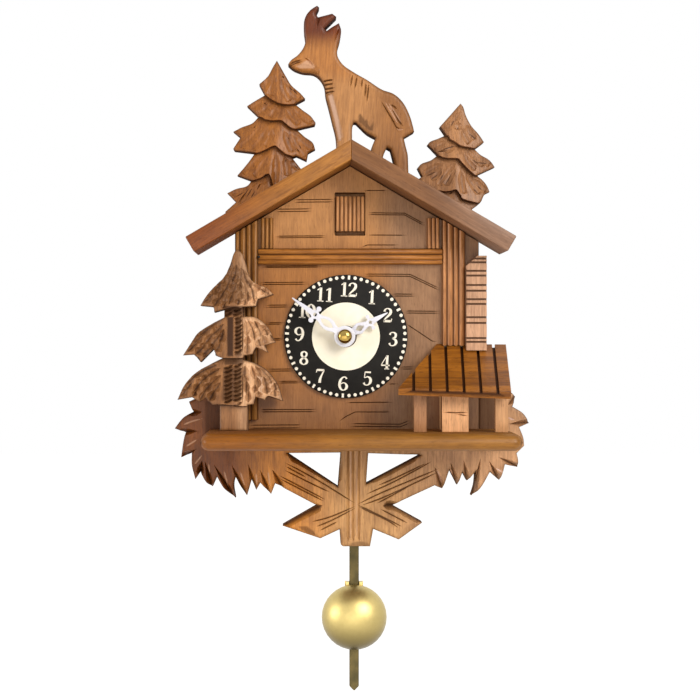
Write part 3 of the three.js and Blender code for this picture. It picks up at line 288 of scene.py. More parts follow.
def wood(name, tone, lean=0, contrast=1.0, bands=0.6, pores=0.5, lacquer=0.14, drifts=(), tooled=0.0,
         grain_axis="Z"):
    """Stained wood under lacquer. lean turns the grain from upright, in degrees; each drift is
    an axis, two places on it, and the tone that the piece changes to between them."""
    look = bpy.data.materials.new(name)
    look.use_nodes = True
    tree = look.node_tree
    shader = tree.nodes["Principled BSDF"]
    where = tree.nodes.new("ShaderNodeTexCoord")
    turned = tree.nodes.new("ShaderNodeMapping")
    turned.inputs["Scale"].default_value = (mm, mm, mm)
    turns = {"Z": (0, math.radians(lean), 0), "Y": (math.radians(90), 0, math.radians(lean))}
    turned.inputs["Rotation"].default_value = turns[grain_axis]
    figure = tree.nodes.new("ShaderNodeGroup")
    figure.node_tree = stained_wood
    settings = {"Tone": tone, "Contrast": contrast, "Bands": bands, "Pores": pores, "Tooled": tooled}
    for socket, value in settings.items():
        figure.inputs[socket].default_value = value
    cut = tree.nodes.new("ShaderNodeAttribute")
    cut.attribute_name = "cut"
    bump = tree.nodes.new("ShaderNodeBump")
    bump.inputs["Strength"].default_value = 0.55
    bump.inputs["Distance"].default_value = 0.00012
    tree.links.new(where.outputs["Object"], turned.inputs["Vector"])
    tree.links.new(turned.outputs["Vector"], figure.inputs["Place"])
    tree.links.new(cut.outputs["Fac"], figure.inputs["Cut"])
    tree.links.new(figure.outputs["Colour"], shader.inputs["Base Color"])
    facing = tree.nodes.new("ShaderNodeLayerWeight")
    facing.inputs["Blend"].default_value = 0.5
    grazing = ranged(tree, facing.outputs["Facing"], 0.5, 0.95, 0.0, 0.4)
    tree.links.new(reckon(tree, "ADD", figure.outputs["Roughness"], grazing), shader.inputs["Roughness"])
    tree.links.new(figure.outputs["Height"], bump.inputs["Height"])
    tree.links.new(bump.outputs["Normal"], shader.inputs["Normal"])
    apart = tree.nodes.new("ShaderNodeSeparateXYZ")
    tree.links.new(where.outputs["Object"], apart.inputs[0])
    for axis, start, end, other in drifts:
        tone = blended(tree, ranged(tree, apart.outputs[axis], start, end), tone, other)
    if drifts:
        tree.links.new(tone, figure.inputs["Tone"])
    head_on = ranged(tree, facing.outputs["Facing"], 0.45, 0.9, 1.0, 0.1)
    gloss = reckon(tree, "MULTIPLY", figure.outputs["Gloss"], head_on)
    shader.inputs["Specular IOR Level"].default_value = 0.22
    tree.links.new(reckon(tree, "MULTIPLY", gloss, lacquer * 1.3), shader.inputs["Coat Weight"])
    shader.inputs["Coat Roughness"].default_value = 0.30
    return look


def only(piece):
    """Selects one piece and nothing else."""
    if bpy.context.object and bpy.context.object.mode != "OBJECT":
        bpy.ops.object.mode_set(mode="OBJECT")
    bpy.ops.object.select_all(action="DESELECT")
    piece.select_set(True)
    bpy.context.view_layer.objects.active = piece


def placed(piece, look, body, slot, *nodes):
    """Gives a finished piece its material and its body, and hides the CAD nodes it stands for. The slot is
    not used.
    """
    piece.data.materials.clear()
    piece.data.materials.append(look)
    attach(piece, body)
    if nodes:
        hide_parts(*nodes)
    return piece


def copied(name, node):
    """A merged copy of a CAD node with its flat faces joined, ready to be worked on."""
    piece = bpy.data.objects.new(name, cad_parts[node].data.copy())
    piece.data.name = name
    bpy.context.scene.collection.objects.link(piece)
    only(piece)
    bpy.ops.mesh.customdata_custom_splitnormals_clear()
    bpy.ops.object.mode_set(mode="EDIT")
    bpy.ops.mesh.select_all(action="SELECT")
    bpy.ops.mesh.remove_doubles(threshold=0.000002)
    bpy.ops.mesh.dissolve_limited(angle_limit=math.radians(0.6))
    bpy.ops.object.mode_set(mode="OBJECT")
    return piece


def softened(name, node, width, steps=2, smooth=40):
    """A copy of a CAD node with its sharp edges sanded round."""
    piece = copied(name, node)
    bevel = piece.modifiers.new("sanded", "BEVEL")
    bevel.width = width
    bevel.segments = steps
    bevel.limit_method = "ANGLE"
    bevel.angle_limit = math.radians(25)
    bevel.miter_outer = "MITER_ARC"
    bpy.ops.object.modifier_apply(modifier="sanded")
    bpy.ops.object.shade_smooth_by_angle(angle=math.radians(smooth))
    return piece


def stain_cuts(piece, depth_of, low, high, strength=1.0):
    """Marks the points that lie between two depths below a face, where dark stain gathers."""
    places = np.array([v.co for v in piece.data.vertices])
    depth = depth_of(places)
    marked = ((depth > low) & (depth < high)).astype(np.float32) * strength
    cut = piece.data.attributes.get("cut") or piece.data.attributes.new("cut", "FLOAT", "POINT")
    cut.data.foreach_set("value", marked)


case_look = wood("case_wood", paint(160, 112, 71), grain_axis="Y", bands=0.9)
for node in ("case_wall_left", "case_wall_right", "case_floor"):
    board = softened(node.replace("case", "house"), node, case_edge)
    placed(board, case_look, "clock_case", "case_wood", node)

# House wall: one flat board with the gable cut on it. The joints between its painted-on logs
# are V-lines, cut by hand in pairs and darkened by the stain that stays in them.
wall_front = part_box("house_wall")[0].y
line_half = 0.00015
line_depth = 0.00030
siding = [
    (2.5, (293, 201), (335, 200.6)),
    (2.4, (274, 210.4), (313, 210)),
    (1.6, (274, 237), (327, 236.6)),
    (0, (362, 190.5), (389.6, 190.3)),
    (1.8, (366.7, 213.6), (404.7, 214), (425.9, 225.4)),
    (0, (366.7, 235), (407.5, 235.2)),
    (0, (360, 248), (367, 245), (400, 245)),
    (1.4, (261, 266.8), (322, 266.2)),
    (2.0, (259, 283.6), (308, 283.2)),
    (2.0, (264, 306.2), (291, 306)),
    (1.5, (264, 323.6), (285, 323.4)),
    (1.5, (264, 339.4), (285, 339.2)),
    (2.0, (266, 370.2), (295, 370)),
    (1.6, (276, 382.3), (302, 382)),
    (2.2, (258, 410.8), (317, 410.6)),
    (3.0, (248, 426.8), (303, 426.4)),
    (2.0, (363, 275), (410, 275.4), (440.6, 290)),
    (2.0, (390, 295), (417, 295.2)),
    (2.0, (403, 312), (440.6, 312.3)),
    (0, (405, 323), (432, 341), (438, 342.4)),
    (2.0, (398, 368), (416, 368)),
    (0, (386, 384), (399, 384)),
    (0, (345, 402.6), (393, 402.2)),
    (0, (338, 422), (346, 416.5), (355, 412), (392, 412)),
    (2.6, (350, 425), (400, 425.6), (412, 421)),
]


def built(name, points, faces):
    """A new piece of points and faces, selected by itself."""
    mesh = bpy.data.meshes.new(name)
    mesh.from_pydata(points, [], faces)
    piece = bpy.data.objects.new(name, mesh)
    bpy.context.scene.collection.objects.link(piece)
    only(piece)
    return piece


def groove_cutter(path, front, half, depth, taper=0.0016):
    """Points and faces of a V-shaped blade swept along a path of (x, z), thin at both ends, in
    a face whose y at each x the function front gives."""
    spots = [Vector(p) for p in path]
    run = [0.0]
    for a, b in zip(spots, spots[1:]):
        run.append(run[-1] + (b - a).length)
    stations = sorted({*run, min(taper, run[-1] * 0.4), run[-1] - min(taper, run[-1] * 0.4)})
    points, faces = [], []
    above = 0.0004
    for station in stations:
        index = max(i for i in range(len(run) - 1) if run[i] <= station + 1e-9)
        share = (station - run[index]) / (run[index + 1] - run[index])
        spot = spots[index].lerp(spots[index + 1], share)
        ahead = (spots[index + 1] - spots[index]).normalized()
        if 0 < index and abs(station - run[index]) < 1e-9:
            ahead = (ahead + (spots[index] - spots[index - 1]).normalized()).normalized()
        side = Vector((-ahead.y, ahead.x))
        fine = 0.12 if station in (0.0, run[-1]) else 1.0
        grow = 1 + above / depth
        for across, deep in ((-grow, -above), (grow, -above), (0, depth)):
            spread = spot + side * across * half * fine
            deep_here = deep if deep < 0 else deep * fine
            points.append((spread.x, front(spread.x) + deep_here, spread.y))
    for i in range(len(stations) - 1):
        a, b = 3 * i, 3 * i + 3
        faces += [(a, a + 1, b + 1, b), (a + 1, a + 2, b + 2, b + 1), (a + 2, a, b, b + 2)]
    faces += [(2, 1, 0), (len(points) - 3, len(points) - 2, len(points) - 1)]
    return points, faces


def grooved(piece, paths, front, half, depth, stain=1.0):
    """Cuts V-lines into a piece's front with one boolean, and stains them."""
    points, faces = [], []
    for path in paths:
        more_points, more_faces = groove_cutter(path, front, half, depth)
        faces += [tuple(i + len(points) for i in f) for f in more_faces]
        points += more_points
    blades = built("blades", points, faces)
    bpy.ops.object.mode_set(mode="EDIT")
    bpy.ops.mesh.select_all(action="SELECT")
    bpy.ops.mesh.normals_make_consistent(inside=False)
    bpy.ops.object.mode_set(mode="OBJECT")
    only(piece)
    cutting = piece.modifiers.new("cutting", "BOOLEAN")
    cutting.operation = "DIFFERENCE"
    cutting.solver = "EXACT"
    cutting.use_self = True
    cutting.object = blades
    bpy.ops.object.modifier_apply(modifier="cutting")
    bpy.data.objects.remove(blades)
    stain_cuts(piece, lambda p: p[:, 1] - front(p[:, 0]), depth * 0.3, depth * 1.05, stain)
    bpy.ops.object.shade_smooth_by_angle(angle=math.radians(20))


wall = softened("engraved_house_wall", "house_wall", 0.00012, 1)
wall_lines = []
for gap, *spots in siding:
    for shift in ([-gap / 2, gap / 2] if gap else [0]):
        wall_lines.append([seen_at(x, y + shift, wall_front) for x, y in spots])
grooved(wall, wall_lines, lambda x: wall_front, line_half, line_depth)
# The drifts paint light and shade into the wall: paler up the gable where it is lit, darker just above the
# shelf where shade falls, and greyer over the right side as a painted half shadow.
wall_look = wood("wall_wood", paint(160, 104, 49), contrast=0.6, bands=0.6, pores=0.5, drifts=[
    ("Z", 0.016, 0.030, paint(175, 124, 74)),
    ("Z", -0.006, -0.022, paint(147, 99, 57)),
    ("X", 0.004, 0.014, paint(144, 107, 77)),
])
placed(wall, wall_look, "clock_case", "front_wood", "house_wall")

# Trim of the front: fluted corner posts and gable strips, the ribbed beam, the sham door and
# the log block. Each is a moulded strip glued on the wall, with dark stain in its flutes.
trim_edge = 0.00014
trim_look = wood("trim_wood", paint(154, 105, 52), contrast=0.8, bands=1.2, pores=0.5, drifts=[
    ("X", -0.01, 0.02, paint(176, 122, 77)),
])
beam_look = wood("beam_wood", paint(161, 103, 42), lean=90, bands=1.0)
door_look = wood("door_wood", paint(181, 129, 83), bands=1.0)
logs_look = wood("logs_wood", paint(191, 149, 120), contrast=0.8, bands=0.9)
trims = [
    ("fluted_post_left", "corner_post_left", trim_look, "trim_wood", 0.0006),
    ("fluted_post_right", "corner_post_right", trim_look, "trim_wood", 0.0006),
    ("fluted_strip_left", "gable_strip_left", trim_look, "trim_wood", 0.0006),
    ("fluted_strip_right", "gable_strip_right", trim_look, "trim_wood", 0.0006),
    ("ribbed_beam", "cross_beam", beam_look, "trim_wood", 0.0006),
    ("sham_door", "gable_door", door_look, "trim_wood", 0.0006),
    ("stacked_logs", "log_block", logs_look, "front_wood", 0.0005),
]
for name, node, look, slot, depth in trims:
    strip = softened(name, node, trim_edge, 1)
    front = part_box(node)[0].y
    stain_cuts(strip, lambda p: p[:, 1] - front, depth * 0.8, depth * 1.3, 0.8)
    placed(strip, look, "clock_case", slot, node)

# Roof: two thick barge boards in front, mitred at the ridge, and two thin panels behind them.
# The grain runs down each slope. The left one is redder towards its low end, and the right
# one is greyer towards its low end, partly from its stain and partly as a painted sheen.
pitch = 30.4
barge_looks = {
    "left": wood("barge_wood_left", paint(117, 60, 17), lean=pitch - 90, contrast=0.8, bands=1.3, drifts=[
        ("X", -0.040, -0.008, paint(152, 99, 39)),
    ]),
    "right": wood("barge_wood_right", paint(119, 79, 47), lean=90 - pitch, contrast=0.7, bands=1.2, drifts=[
        ("X", 0.018, 0.040, paint(142, 109, 89)),
    ]),
}
for side, look in barge_looks.items():
    board = softened("barge_" + side, "barge_board_" + side, 0.00032, 3)
    placed(board, look, "clock_case", "roof_wood", "barge_board_" + side)
    panel = softened("roof_slope_" + side, "roof_panel_" + side, 0.0002)
    placed(panel, look, "clock_case", "roof_wood", "roof_panel_" + side)

# Back cover: a thin plywood panel, held by four brass brads, with a window for the cell and
# the setting knob, and a keyhole for the nail.
cover_look = wood("cover_wood", paint(187, 145, 98), bands=1.4, pores=0.7, lacquer=0.05)
cover = softened("plywood_cover", "back_cover", 0.00015, 1)
placed(cover, cover_look, "clock_case", "case_wood", "back_cover")

# Shelf: a board with a rounded front edge that runs past the house on both sides.
# The drifts are painted light and shade: the shelf is painted lighter towards the right, and darker in a
# strip along its top edge where the light only grazes it.
shelf_look = wood("shelf_wood", paint(129, 75, 11), lean=90, contrast=0.6, bands=0.8, drifts=[
    ("X", -0.030, 0.010, paint(143, 95, 33)),
    ("Z", -0.0242, -0.0226, paint(106, 62, 16)),
])
shelf = softened("rounded_shelf", "shelf_board", 0.0003, 2, 50)
shelf_low, shelf_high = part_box("shelf_board")
stain_cuts(shelf, lambda p: np.minimum(p[:, 0] - shelf_low.x, shelf_high.x - p[:, 0]), -0.001, 0.0004, 0.7)
placed(shelf, shelf_look, "clock_case", "front_wood", "shelf_board")

# Carved boards: sawn outlines whose front is worked with the knife and the V-tool. The skin
# follows the outline and every tool mark, and stain stays in the cuts and on the sawn edges.
# Painted shade lies under each tier's lip and in some washes. Widths and depths are in metres,
# and the darkness, stain and painted shade alike, runs from nothing to 1, the darkest.
carving_step = 0.00042
nudge = 0.000004
break_width = 0.00012
calm_width = 0.0007
# A thin dark seam just below each tier's lip, partly stain and partly painted shadow, and a wider painted
# shade under the lip where the tier above overhangs.
seam_width, seam_stain_and_shadow = 0.0003, 0.8
shade_width, under_lip_painted_shade = 0.0022, 0.5
border_width, border_stain = 0.0011, 0.42
wash_edge = 0.0004
least_board = 0.0008
back_stain = 0.2


def front_rings(node):
    """The outlines of a CAD board's flat front, each a ring of (x, z)."""
    shape = bmesh.new()
    shape.from_mesh(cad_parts[node].data)
    bmesh.ops.remove_doubles(shape, verts=shape.verts, dist=0.000002)
    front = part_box(node)[0].y
    flat = {f for f in shape.faces if f.normal.y < -0.99 and abs(f.calc_center_median().y - front) < 1e-5}
    rim = [e for e in shape.edges if len([f for f in e.link_faces if f in flat]) == 1]
    nexts = {}
    for edge in rim:
        a, b = (v.index for v in edge.verts)
        nexts.setdefault(a, []).append(b)
        nexts.setdefault(b, []).append(a)
    shape.verts.ensure_lookup_table()
    rings = []
    left = set(nexts)
    while left:
        here = min(left)
        ring, before = [here], None
        while True:
            onward = [n for n in nexts[here] if n != before and n in left and n not in ring]
            if not onward:
                break
            before, here = here, onward[0]
            ring.append(here)
        left -= set(ring)
        rings.append(np.array([(shape.verts[i].co.x, shape.verts[i].co.z) for i in ring]))
    shape.free()
    return [r for r in rings if len(r) > 2]


def smoothed_ring(ring, step, corner=38, straight=0.0055):
    """The ring with curves run through its gentle bends; sharp corners and long edges stay."""
    count = len(ring)
    ahead = np.roll(ring, -1, axis=0) - ring
    length = np.linalg.norm(ahead, axis=1)
    course = ahead / length[:, None]
    before = np.roll(course, 1, axis=0)
    turn = np.degrees(np.arccos(np.clip((course * before).sum(axis=1), -1, 1)))
    long = length > straight
    long_before = np.roll(long, 1)
    sharp = (turn > corner) | (long & long_before)
    heading = course + before
    heading /= np.maximum(np.linalg.norm(heading, axis=1), 1e-9)[:, None]
    heading[long] = course[long]
    heading[long_before] = before[long_before]
    out = []
    for i in range(count):
        j = (i + 1) % count
        a, b = ring[i], ring[j]
        leave = ahead[i] if sharp[i] or long[i] else heading[i] * length[i]
        arrive = ahead[i] if sharp[j] or long[i] else heading[j] * length[i]
        pieces = max(1, int(math.ceil(length[i] / step)))
        for k in range(pieces):
            t = k / pieces
            h00, h10 = 2 * t ** 3 - 3 * t ** 2 + 1, t ** 3 - 2 * t ** 2 + t
            h01, h11 = -2 * t ** 3 + 3 * t ** 2, t ** 3 - t ** 2
            out.append(h00 * a + h10 * leave + h01 * b + h11 * arrive)
    return np.array(out)


def inside(points, rings):
    """Which points lie inside the rings, counting holes out."""
    odd = np.zeros(len(points), bool)
    for ring in rings:
        ends = np.roll(ring, -1, axis=0)
        for (x0, z0), (x1, z1) in zip(ring, ends):
            if z0 == z1:
                continue
            span = (points[:, 1] > min(z0, z1)) & (points[:, 1] <= max(z0, z1))
            cross = x0 + (points[:, 1] - z0) * (x1 - x0) / (z1 - z0)
            odd ^= span & (points[:, 0] < cross)
    return odd


def distance(points, path, closed=False):
    """Each point's distance from a path, and how far along it the nearest spot lies (0 to 1)."""
    best = np.full(len(points), 1e9)
    along = np.zeros(len(points))
    ends = np.roll(path, -1, axis=0) if closed else path[1:]
    starts = path if closed else path[:-1]
    lengths = np.linalg.norm(ends - starts, axis=1)
    total = lengths.sum()
    run = 0.0
    for a, b, length in zip(starts, ends, lengths):
        if length > 0:
            t = np.clip(((points - a) @ (b - a)) / length ** 2, 0, 1)
            d = np.linalg.norm(points - (a + t[:, None] * (b - a)), axis=1)
            near = d < best
            best[near] = d[near]
            along[near] = (run + t[near] * length) / total
        run += length
    return best, along


def gouge(path, half, depth, stain=0.6, start=0.25, end=0.25, scoop=False):
    """One cut: its path of (x, z), half width, depth, stain, and how fast each end tapers. A
    scoop is round at the bottom, the others are V-shaped."""
    return {"path": np.array(path, float), "half": half, "depth": depth, "stain": stain, "ends": (start, end),
            "scoop": scoop}


def fullness(cut, along):
    """How wide and deep a cut is at each share of its length."""
    start, end = cut["ends"]
    first = np.ones_like(along) if start <= 0 else np.clip(along / start, 0.03, 1)
    last = np.ones_like(along) if end <= 0 else np.clip((1 - along) / end, 0.03, 1)
    return np.minimum(first, last) ** 0.75


def resampled(path, step):
    """A path with points no further apart than step, run smoothly through its bends."""
    out = []
    for i in range(len(path) - 1):
        a, b = path[i], path[i + 1]
        before = path[i - 1] if i else 2 * a - b
        after = path[i + 2] if i + 2 < len(path) else 2 * b - a
        pieces = max(1, int(math.ceil(np.linalg.norm(b - a) / step)))
        for k in range(pieces):
            t = k / pieces
            out.append(0.5 * (2 * a + (b - before) * t + (2 * before - 5 * a + 4 * b - after) * t ** 2
                              + (3 * a - before - 3 * b + after) * t ** 3))
    out.append(path[-1])
    return np.array(out)


def sideways(course):
    """Unit vectors at right angles to the course of a path."""
    normal = np.stack([-course[:, 1], course[:, 0]], axis=1)
    return normal / np.maximum(np.linalg.norm(normal, axis=1), 1e-12)[:, None]


def triangulated(points, edges, wanted):
    """Triangles through the points and along the edges. wanted picks them by their corners.
    Returns the points in use and the triangles."""
    found, _, faces, _, _, _ = delaunay_2d_cdt([Vector(p) * mm for p in points], edges, [], 0, 1e-5)
    spots = np.array([tuple(v) for v in found]) / mm
    faces = np.array([f for f in faces if len(f) == 3])
    faces = faces[wanted(spots[faces])]
    used = np.unique(faces)
    renumber = -np.ones(len(spots), int)
    renumber[used] = np.arange(len(used))
    return spots[used], renumber[faces]


def board_of(name, front, behind, faces):
    """A closed board: triangles on its front, walls round them and a flat back. Returns it with
    the points that the back shares with the rim."""
    directed = set()
    for a, b, c in faces:
        directed |= {(a, b), (b, c), (c, a)}
    rim_edges = [(a, b) for a, b in directed if (b, a) not in directed]
    rim_points = sorted({p for pair in rim_edges for p in pair})
    lower = {p: len(front) + i for i, p in enumerate(rim_points)}
    mesh_faces = [tuple(map(int, f)) for f in faces]
    mesh_faces += [(b, a, lower[a], lower[b]) for a, b in rim_edges]
    piece = built(name, np.vstack([front, behind[rim_points]]).tolist(), mesh_faces)
    bpy.ops.object.mode_set(mode="EDIT")
    bpy.ops.mesh.select_mode(type="EDGE")
    bpy.ops.mesh.select_all(action="DESELECT")
    bpy.ops.mesh.select_non_manifold(
        extend=False, use_wire=False, use_multi_face=False, use_non_contiguous=False
    )
    bpy.ops.mesh.fill(use_beauty=False)
    bpy.ops.mesh.select_all(action="SELECT")
    bpy.ops.mesh.normals_make_consistent(inside=False)
    bpy.ops.object.mode_set(mode="OBJECT")
    return piece, rim_points


def deepened(stain, more):
    """The darkness, stain and painted shade alike, with more laid over it, wherever that is the stronger of
    the two.
    """
    return np.where(more > np.abs(stain), more, stain)


def carved(name, node, cuts, form=None, breaks=(), washes=(), step=carving_step, rim=0.0005, rim_drop=0.0003,
           edge_stain=0.78, smooth=24):
    """A sawn board with a carved front. form gives the depth of the whole surface below the
    front plane, breaks are paths where that depth jumps, with painted shade laid under each, and
    washes are rings of (x, z), each with the darkness inside it, stain in some and painted shade
    in others, or with less than none where the wood is bare."""
    low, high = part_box(node)
    rings = [smoothed_ring(r, step) for r in front_rings(node)]
    points = []
    edges = []

    def add_path(path, closed=False):
        first = len(points)
        points.extend(map(tuple, path))
        count = len(path)
        edges.extend((first + i, first + (i + 1) % count) for i in range(count if closed else count - 1))

    # The sawn outline, and more points beside it, where the edge is rounded.
    for ring in rings:
        add_path(ring, closed=True)
    for ring in rings:
        normal = sideways(np.roll(ring, -1, axis=0) - np.roll(ring, 1, axis=0))
        for inset in (0.4 * rim, rim):
            for sign in (1, -1):
                spots = ring + sign * inset * normal
                good = inside(spots, rings)
                gap = np.min([distance(spots, r, True)[0] for r in rings], axis=0)
                points.extend(map(tuple, spots[good & (gap > 0.85 * inset)]))

    # Lines that the triangles have to follow: the breaks, and each cut's middle and sides.
    guides = []
    for path in breaks:
        guides += [path, path - np.array([0, break_width])]
    for cut in cuts:
        cut["path"] = path = resampled(cut["path"], step * 1.3)
        normal = sideways(np.gradient(path, axis=0))
        lengths = np.concatenate([[0], np.cumsum(np.linalg.norm(np.diff(path, axis=0), axis=1))])
        width = cut["half"] * fullness(cut, lengths / lengths[-1])
        guides.append(path)
        for share in (1, 0.5) if cut["scoop"] else (1,):
            guides.append(path + normal * width[:, None] * share)
            guides.append(path - normal * width[:, None] * share)
    for path in guides:
        run = []
        for spot, fine in [*zip(path, inside(path, rings)), (None, False)]:
            if fine:
                run.append(spot)
                continue
            if len(run) > 1:
                add_path(run)
            run = []

    # An even grid for the rest, kept out of the cells that hold a point already.
    rows = np.arange(low.z, high.z, step * 0.866)
    columns = np.arange(low.x, high.x, step)
    grid = np.array([(x + (j % 2) * step / 2, z) for j, z in enumerate(rows) for x in columns])
    grid = grid[inside(grid, rings)]
    cell = step * 0.55

    def cell_of(spot):
        return math.floor(spot[0] / cell), math.floor(spot[1] / cell)

    filled = {cell_of(p) for p in points}
    points.extend([tuple(spot) for spot in grid if cell_of(spot) not in filled])

    def wanted(corners):
        area = np.cross(corners[:, 1] - corners[:, 0], corners[:, 2] - corners[:, 0])
        return inside(corners.mean(axis=1), rings) & (np.abs(area) > 1e-16)

    # How deep and how dark each point is, by stain and by painted shade: the form, then the cuts, the breaks
    # and the rim.
    spots, faces = triangulated(points, edges, wanted)
    depth = form(spots) if form else np.zeros(len(spots))
    cut_depth = np.zeros(len(spots))
    stain = np.zeros(len(spots))
    for cut in cuts:
        path = cut["path"]
        reach = cut["half"] * 1.05
        close = np.all((spots > path.min(axis=0) - reach) & (spots < path.max(axis=0) + reach), axis=1)
        if not close.any():
            continue
        d, along = distance(spots[close], path)
        full = fullness(cut, along)
        deep = np.clip(1 - d / (cut["half"] * full), 0, 1)
        profile = 1 - (1 - deep) ** 2 if cut["scoop"] else deep
        cut_depth[close] = np.maximum(cut_depth[close], profile * cut["depth"] * full)
        mark = deep ** (2 if cut["scoop"] else 1) * cut["stain"]
        stain[close] = np.where(np.abs(mark) > np.abs(stain[close]), mark, stain[close])
    # Below each break: the dark seam, partly stain and partly painted shadow, then the painted shade under
    # the lip of the tier above.
    for path in breaks:
        under = np.interp(spots[:, 0], path[:, 0], path[:, 1]) - spots[:, 1] - nudge
        near, _ = distance(spots, path)
        cut_depth *= np.clip(near / calm_width, 0.15, 1)
        stain = deepened(stain, np.where((under > 0) & (near < seam_width), seam_stain_and_shadow, 0))
        shade = under_lip_painted_shade * np.clip(1 - near / shade_width, 0, 1)
        stain = deepened(stain, np.where(under > 0, shade, 0))
    border = np.min([distance(spots, r, True)[0] for r in rings], axis=0)
    stain = deepened(stain, border_stain * np.clip(1 - border / border_width, 0, 1))
    for ring, strength in washes:
        ring = np.array(ring)
        soft = np.clip(distance(spots, ring, True)[0] / wash_edge, 0, 1) * inside(spots, [ring])
        stain = stain * (1 - soft) + soft * strength if strength < 0 else deepened(stain, soft * strength)
    rounding = np.clip(1 - border / rim, 0, 1) ** 2 * rim_drop
    depth = np.minimum(depth + cut_depth + rounding, (high.y - low.y) - least_board)
    stain = np.where(border < 1e-6, edge_stain, stain)

    front = np.column_stack([spots[:, 0], low.y + depth, spots[:, 1]])
    behind = np.column_stack([spots[:, 0], np.full(len(spots), high.y), spots[:, 1]])
    piece, rim_points = board_of(name, front, behind, faces)
    stain = np.concatenate([stain, np.full(len(rim_points), edge_stain)])
    corners = stain[[loop.vertex_index for loop in piece.data.loops]]
    for face in piece.data.polygons:
        if face.normal.y > 0.9:
            corners[face.loop_start:face.loop_start + face.loop_total] = back_stain
    cut = piece.data.attributes.new("cut", "FLOAT", "CORNER")
    cut.data.foreach_set("value", corners.astype(np.float32))
    bpy.ops.object.shade_smooth_by_angle(angle=math.radians(smooth))
    return piece


# Leaf board: a wreath of pointed leaves behind the shelf with two crossed braces and a post
# under it, sawn from one board. The leaves are veined, the braces are lined in pairs.
leaf_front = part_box("leaf_board")[0].y
leaf_veins = [
    ((183.3, 424.8), (192, 421.4), (201.5, 418.8)), ((185.8, 446.6), (197.3, 439.4)),
    ((194.2, 464.8), (202.1, 455.1)),
    ((208.4, 463.6), (209.4, 473.3)), ((224, 471.1), (228.2, 487.8)), ((240.4, 472.1), (244.7, 486.6)),
    ((256, 473.1), (256.8, 485)), ((268, 471.5), (270, 486.2)), ((451, 470), (454, 482)),
    ((506, 474), (495.6, 468)),
    ((515, 420), (506, 417)), ((437, 470), (442.4, 484)),
]
# Chamfers down the left side of each leaf: real V-cuts whose darkness is partly stain and partly painted
# shade on the side turned from the key lamp.
leaf_facets = [
    ((201.5, 412.1), (193, 412.7)), ((197, 431), (183.3, 432.1)), ((195, 450), (185.8, 455.1)),
    ((202, 461), (200.3, 470.9)), ((205.1, 462), (211.8, 488.6)), ((214.7, 466), (234.2, 498.3)),
    ((232, 466), (246.7, 496.5)), ((248.4, 465), (255.4, 491.7)), ((260.5, 471), (270, 495.3)),
    ((272.6, 470), (281.1, 486)), ((435.1, 468), (442.6, 489.2)), ((450.9, 463), (457.5, 486.1)),
    ((464, 461.8), (467.5, 481.7)), ((480.5, 459.1), (472.8, 497.7)), ((489.5, 461.6), (499.8, 481.5)),
    ((499.4, 457.6), (519.8, 467.6)), ((509.4, 424), (529, 422.6)), ((508.1, 405), (515.3, 397.4)),
]
brace_lines = [
    ((285.7, 463), (303.3, 472.1), (326.3, 485.4), (355, 503.4)), ((286.3, 466.6), (305.7, 476.9)),
    ((285.1, 470.3), (317.8, 486.6), (330, 492)), ((279.7, 475.7), (325.1, 499.4)),
    ((280.3, 478.8), (323.9, 501.2)),
    ((355, 506.6), (330, 517), (311.8, 521.8)), ((355, 508.4), (331.2, 520.6), (316.6, 526.6)),
    ((337.2, 521.8), (320.3, 530.3)),
    ((425.8, 463.3), (394.7, 478.2), (377.3, 485.7)), ((431.4, 461.5), (396, 480.7), (366.1, 494.4)),
    ((438.2, 468.9), (383.5, 491.9), (357.4, 504.4)), ((438.2, 472), (387.3, 495.7), (361.1, 505.6)),
    ((409.6, 485.7), (387.3, 498.1), (377.3, 503.1)), ((357.4, 504.8), (372.3, 511.8), (402.2, 526.7)),
    ((358.7, 506.6), (387.3, 520.5), (398.5, 528)), ((381, 509.3), (407.2, 523)),
]
post_lines = [((348.6, 449), (348.6, 541)), ((353.6, 449), (353.4, 541)), ((359.4, 449), (359.2, 541))]
post_ridges = [((350.8, 449), (350.8, 538)), ((357, 449), (357, 538))]
window_edges = [
    ((288, 455), (298, 459.4), (316, 469.6), (337, 482.6)),
    ((367, 481), (388, 471), (407, 460.6), (419, 454)),
    ((383, 506), (393, 505.6), (408, 513), (422, 521)), ((283.6, 525.4), (302, 515), (322, 505.6)),
    ((337.6, 456), (337.2, 482)),
]
leaf_cuts = [
    gouge(traced(path, leaf_front), *tool)
    for paths, *tool in (
        (leaf_veins, 0.00036, 0.0001, -1.0, 0.15, 0.25),
        (leaf_facets, 0.00095, 0.0022, 0.62, 0.8, 0),
        (brace_lines, 0.00026, 0.0003, 0.95, 0.15, 0.15),
        (post_lines, 0.00060, 0.0005, 0.34, 0, 0.05),
        (post_ridges, 0.00030, 0.0001, -0.6, 0, 0.05),
        (window_edges, 0.00125, 0.0018, 1.0, 0.1, 0.1),
    )
    for path in paths
]
leaf_stain_and_shade_washes = [
    ([(296, 525.4), (306.9, 525.2), (314.2, 530), (319, 537.8), (310.6, 535.6), (300.9, 530.8)], 0.6),
    ([(402.2, 528), (409.6, 523), (420.8, 522.4), (414.6, 529.2), (399.7, 538), (398.5, 535.5)], 0.3),
    ([(346.7, 547), (350, 542.6), (356, 540.6), (362, 540.4), (368, 541.8), (371, 545), (371, 547)], 0.5),
    # Painted shade on the leaf board beside and behind the yard tree's trunk.
    ([(204, 400), (226, 400), (226, 436), (204, 436)], 0.5),
    ([(222, 448), (236, 448), (233, 467), (225, 467)], 0.3),
    # Painted shade on the leaf board under the porch roof.
    ([(470, 386), (497, 386), (497, 436), (470, 436)], 0.8),
]
leaf_stain_and_shade_washes = [(traced(ring, leaf_front), strength) for ring, strength in leaf_stain_and_shade_washes]
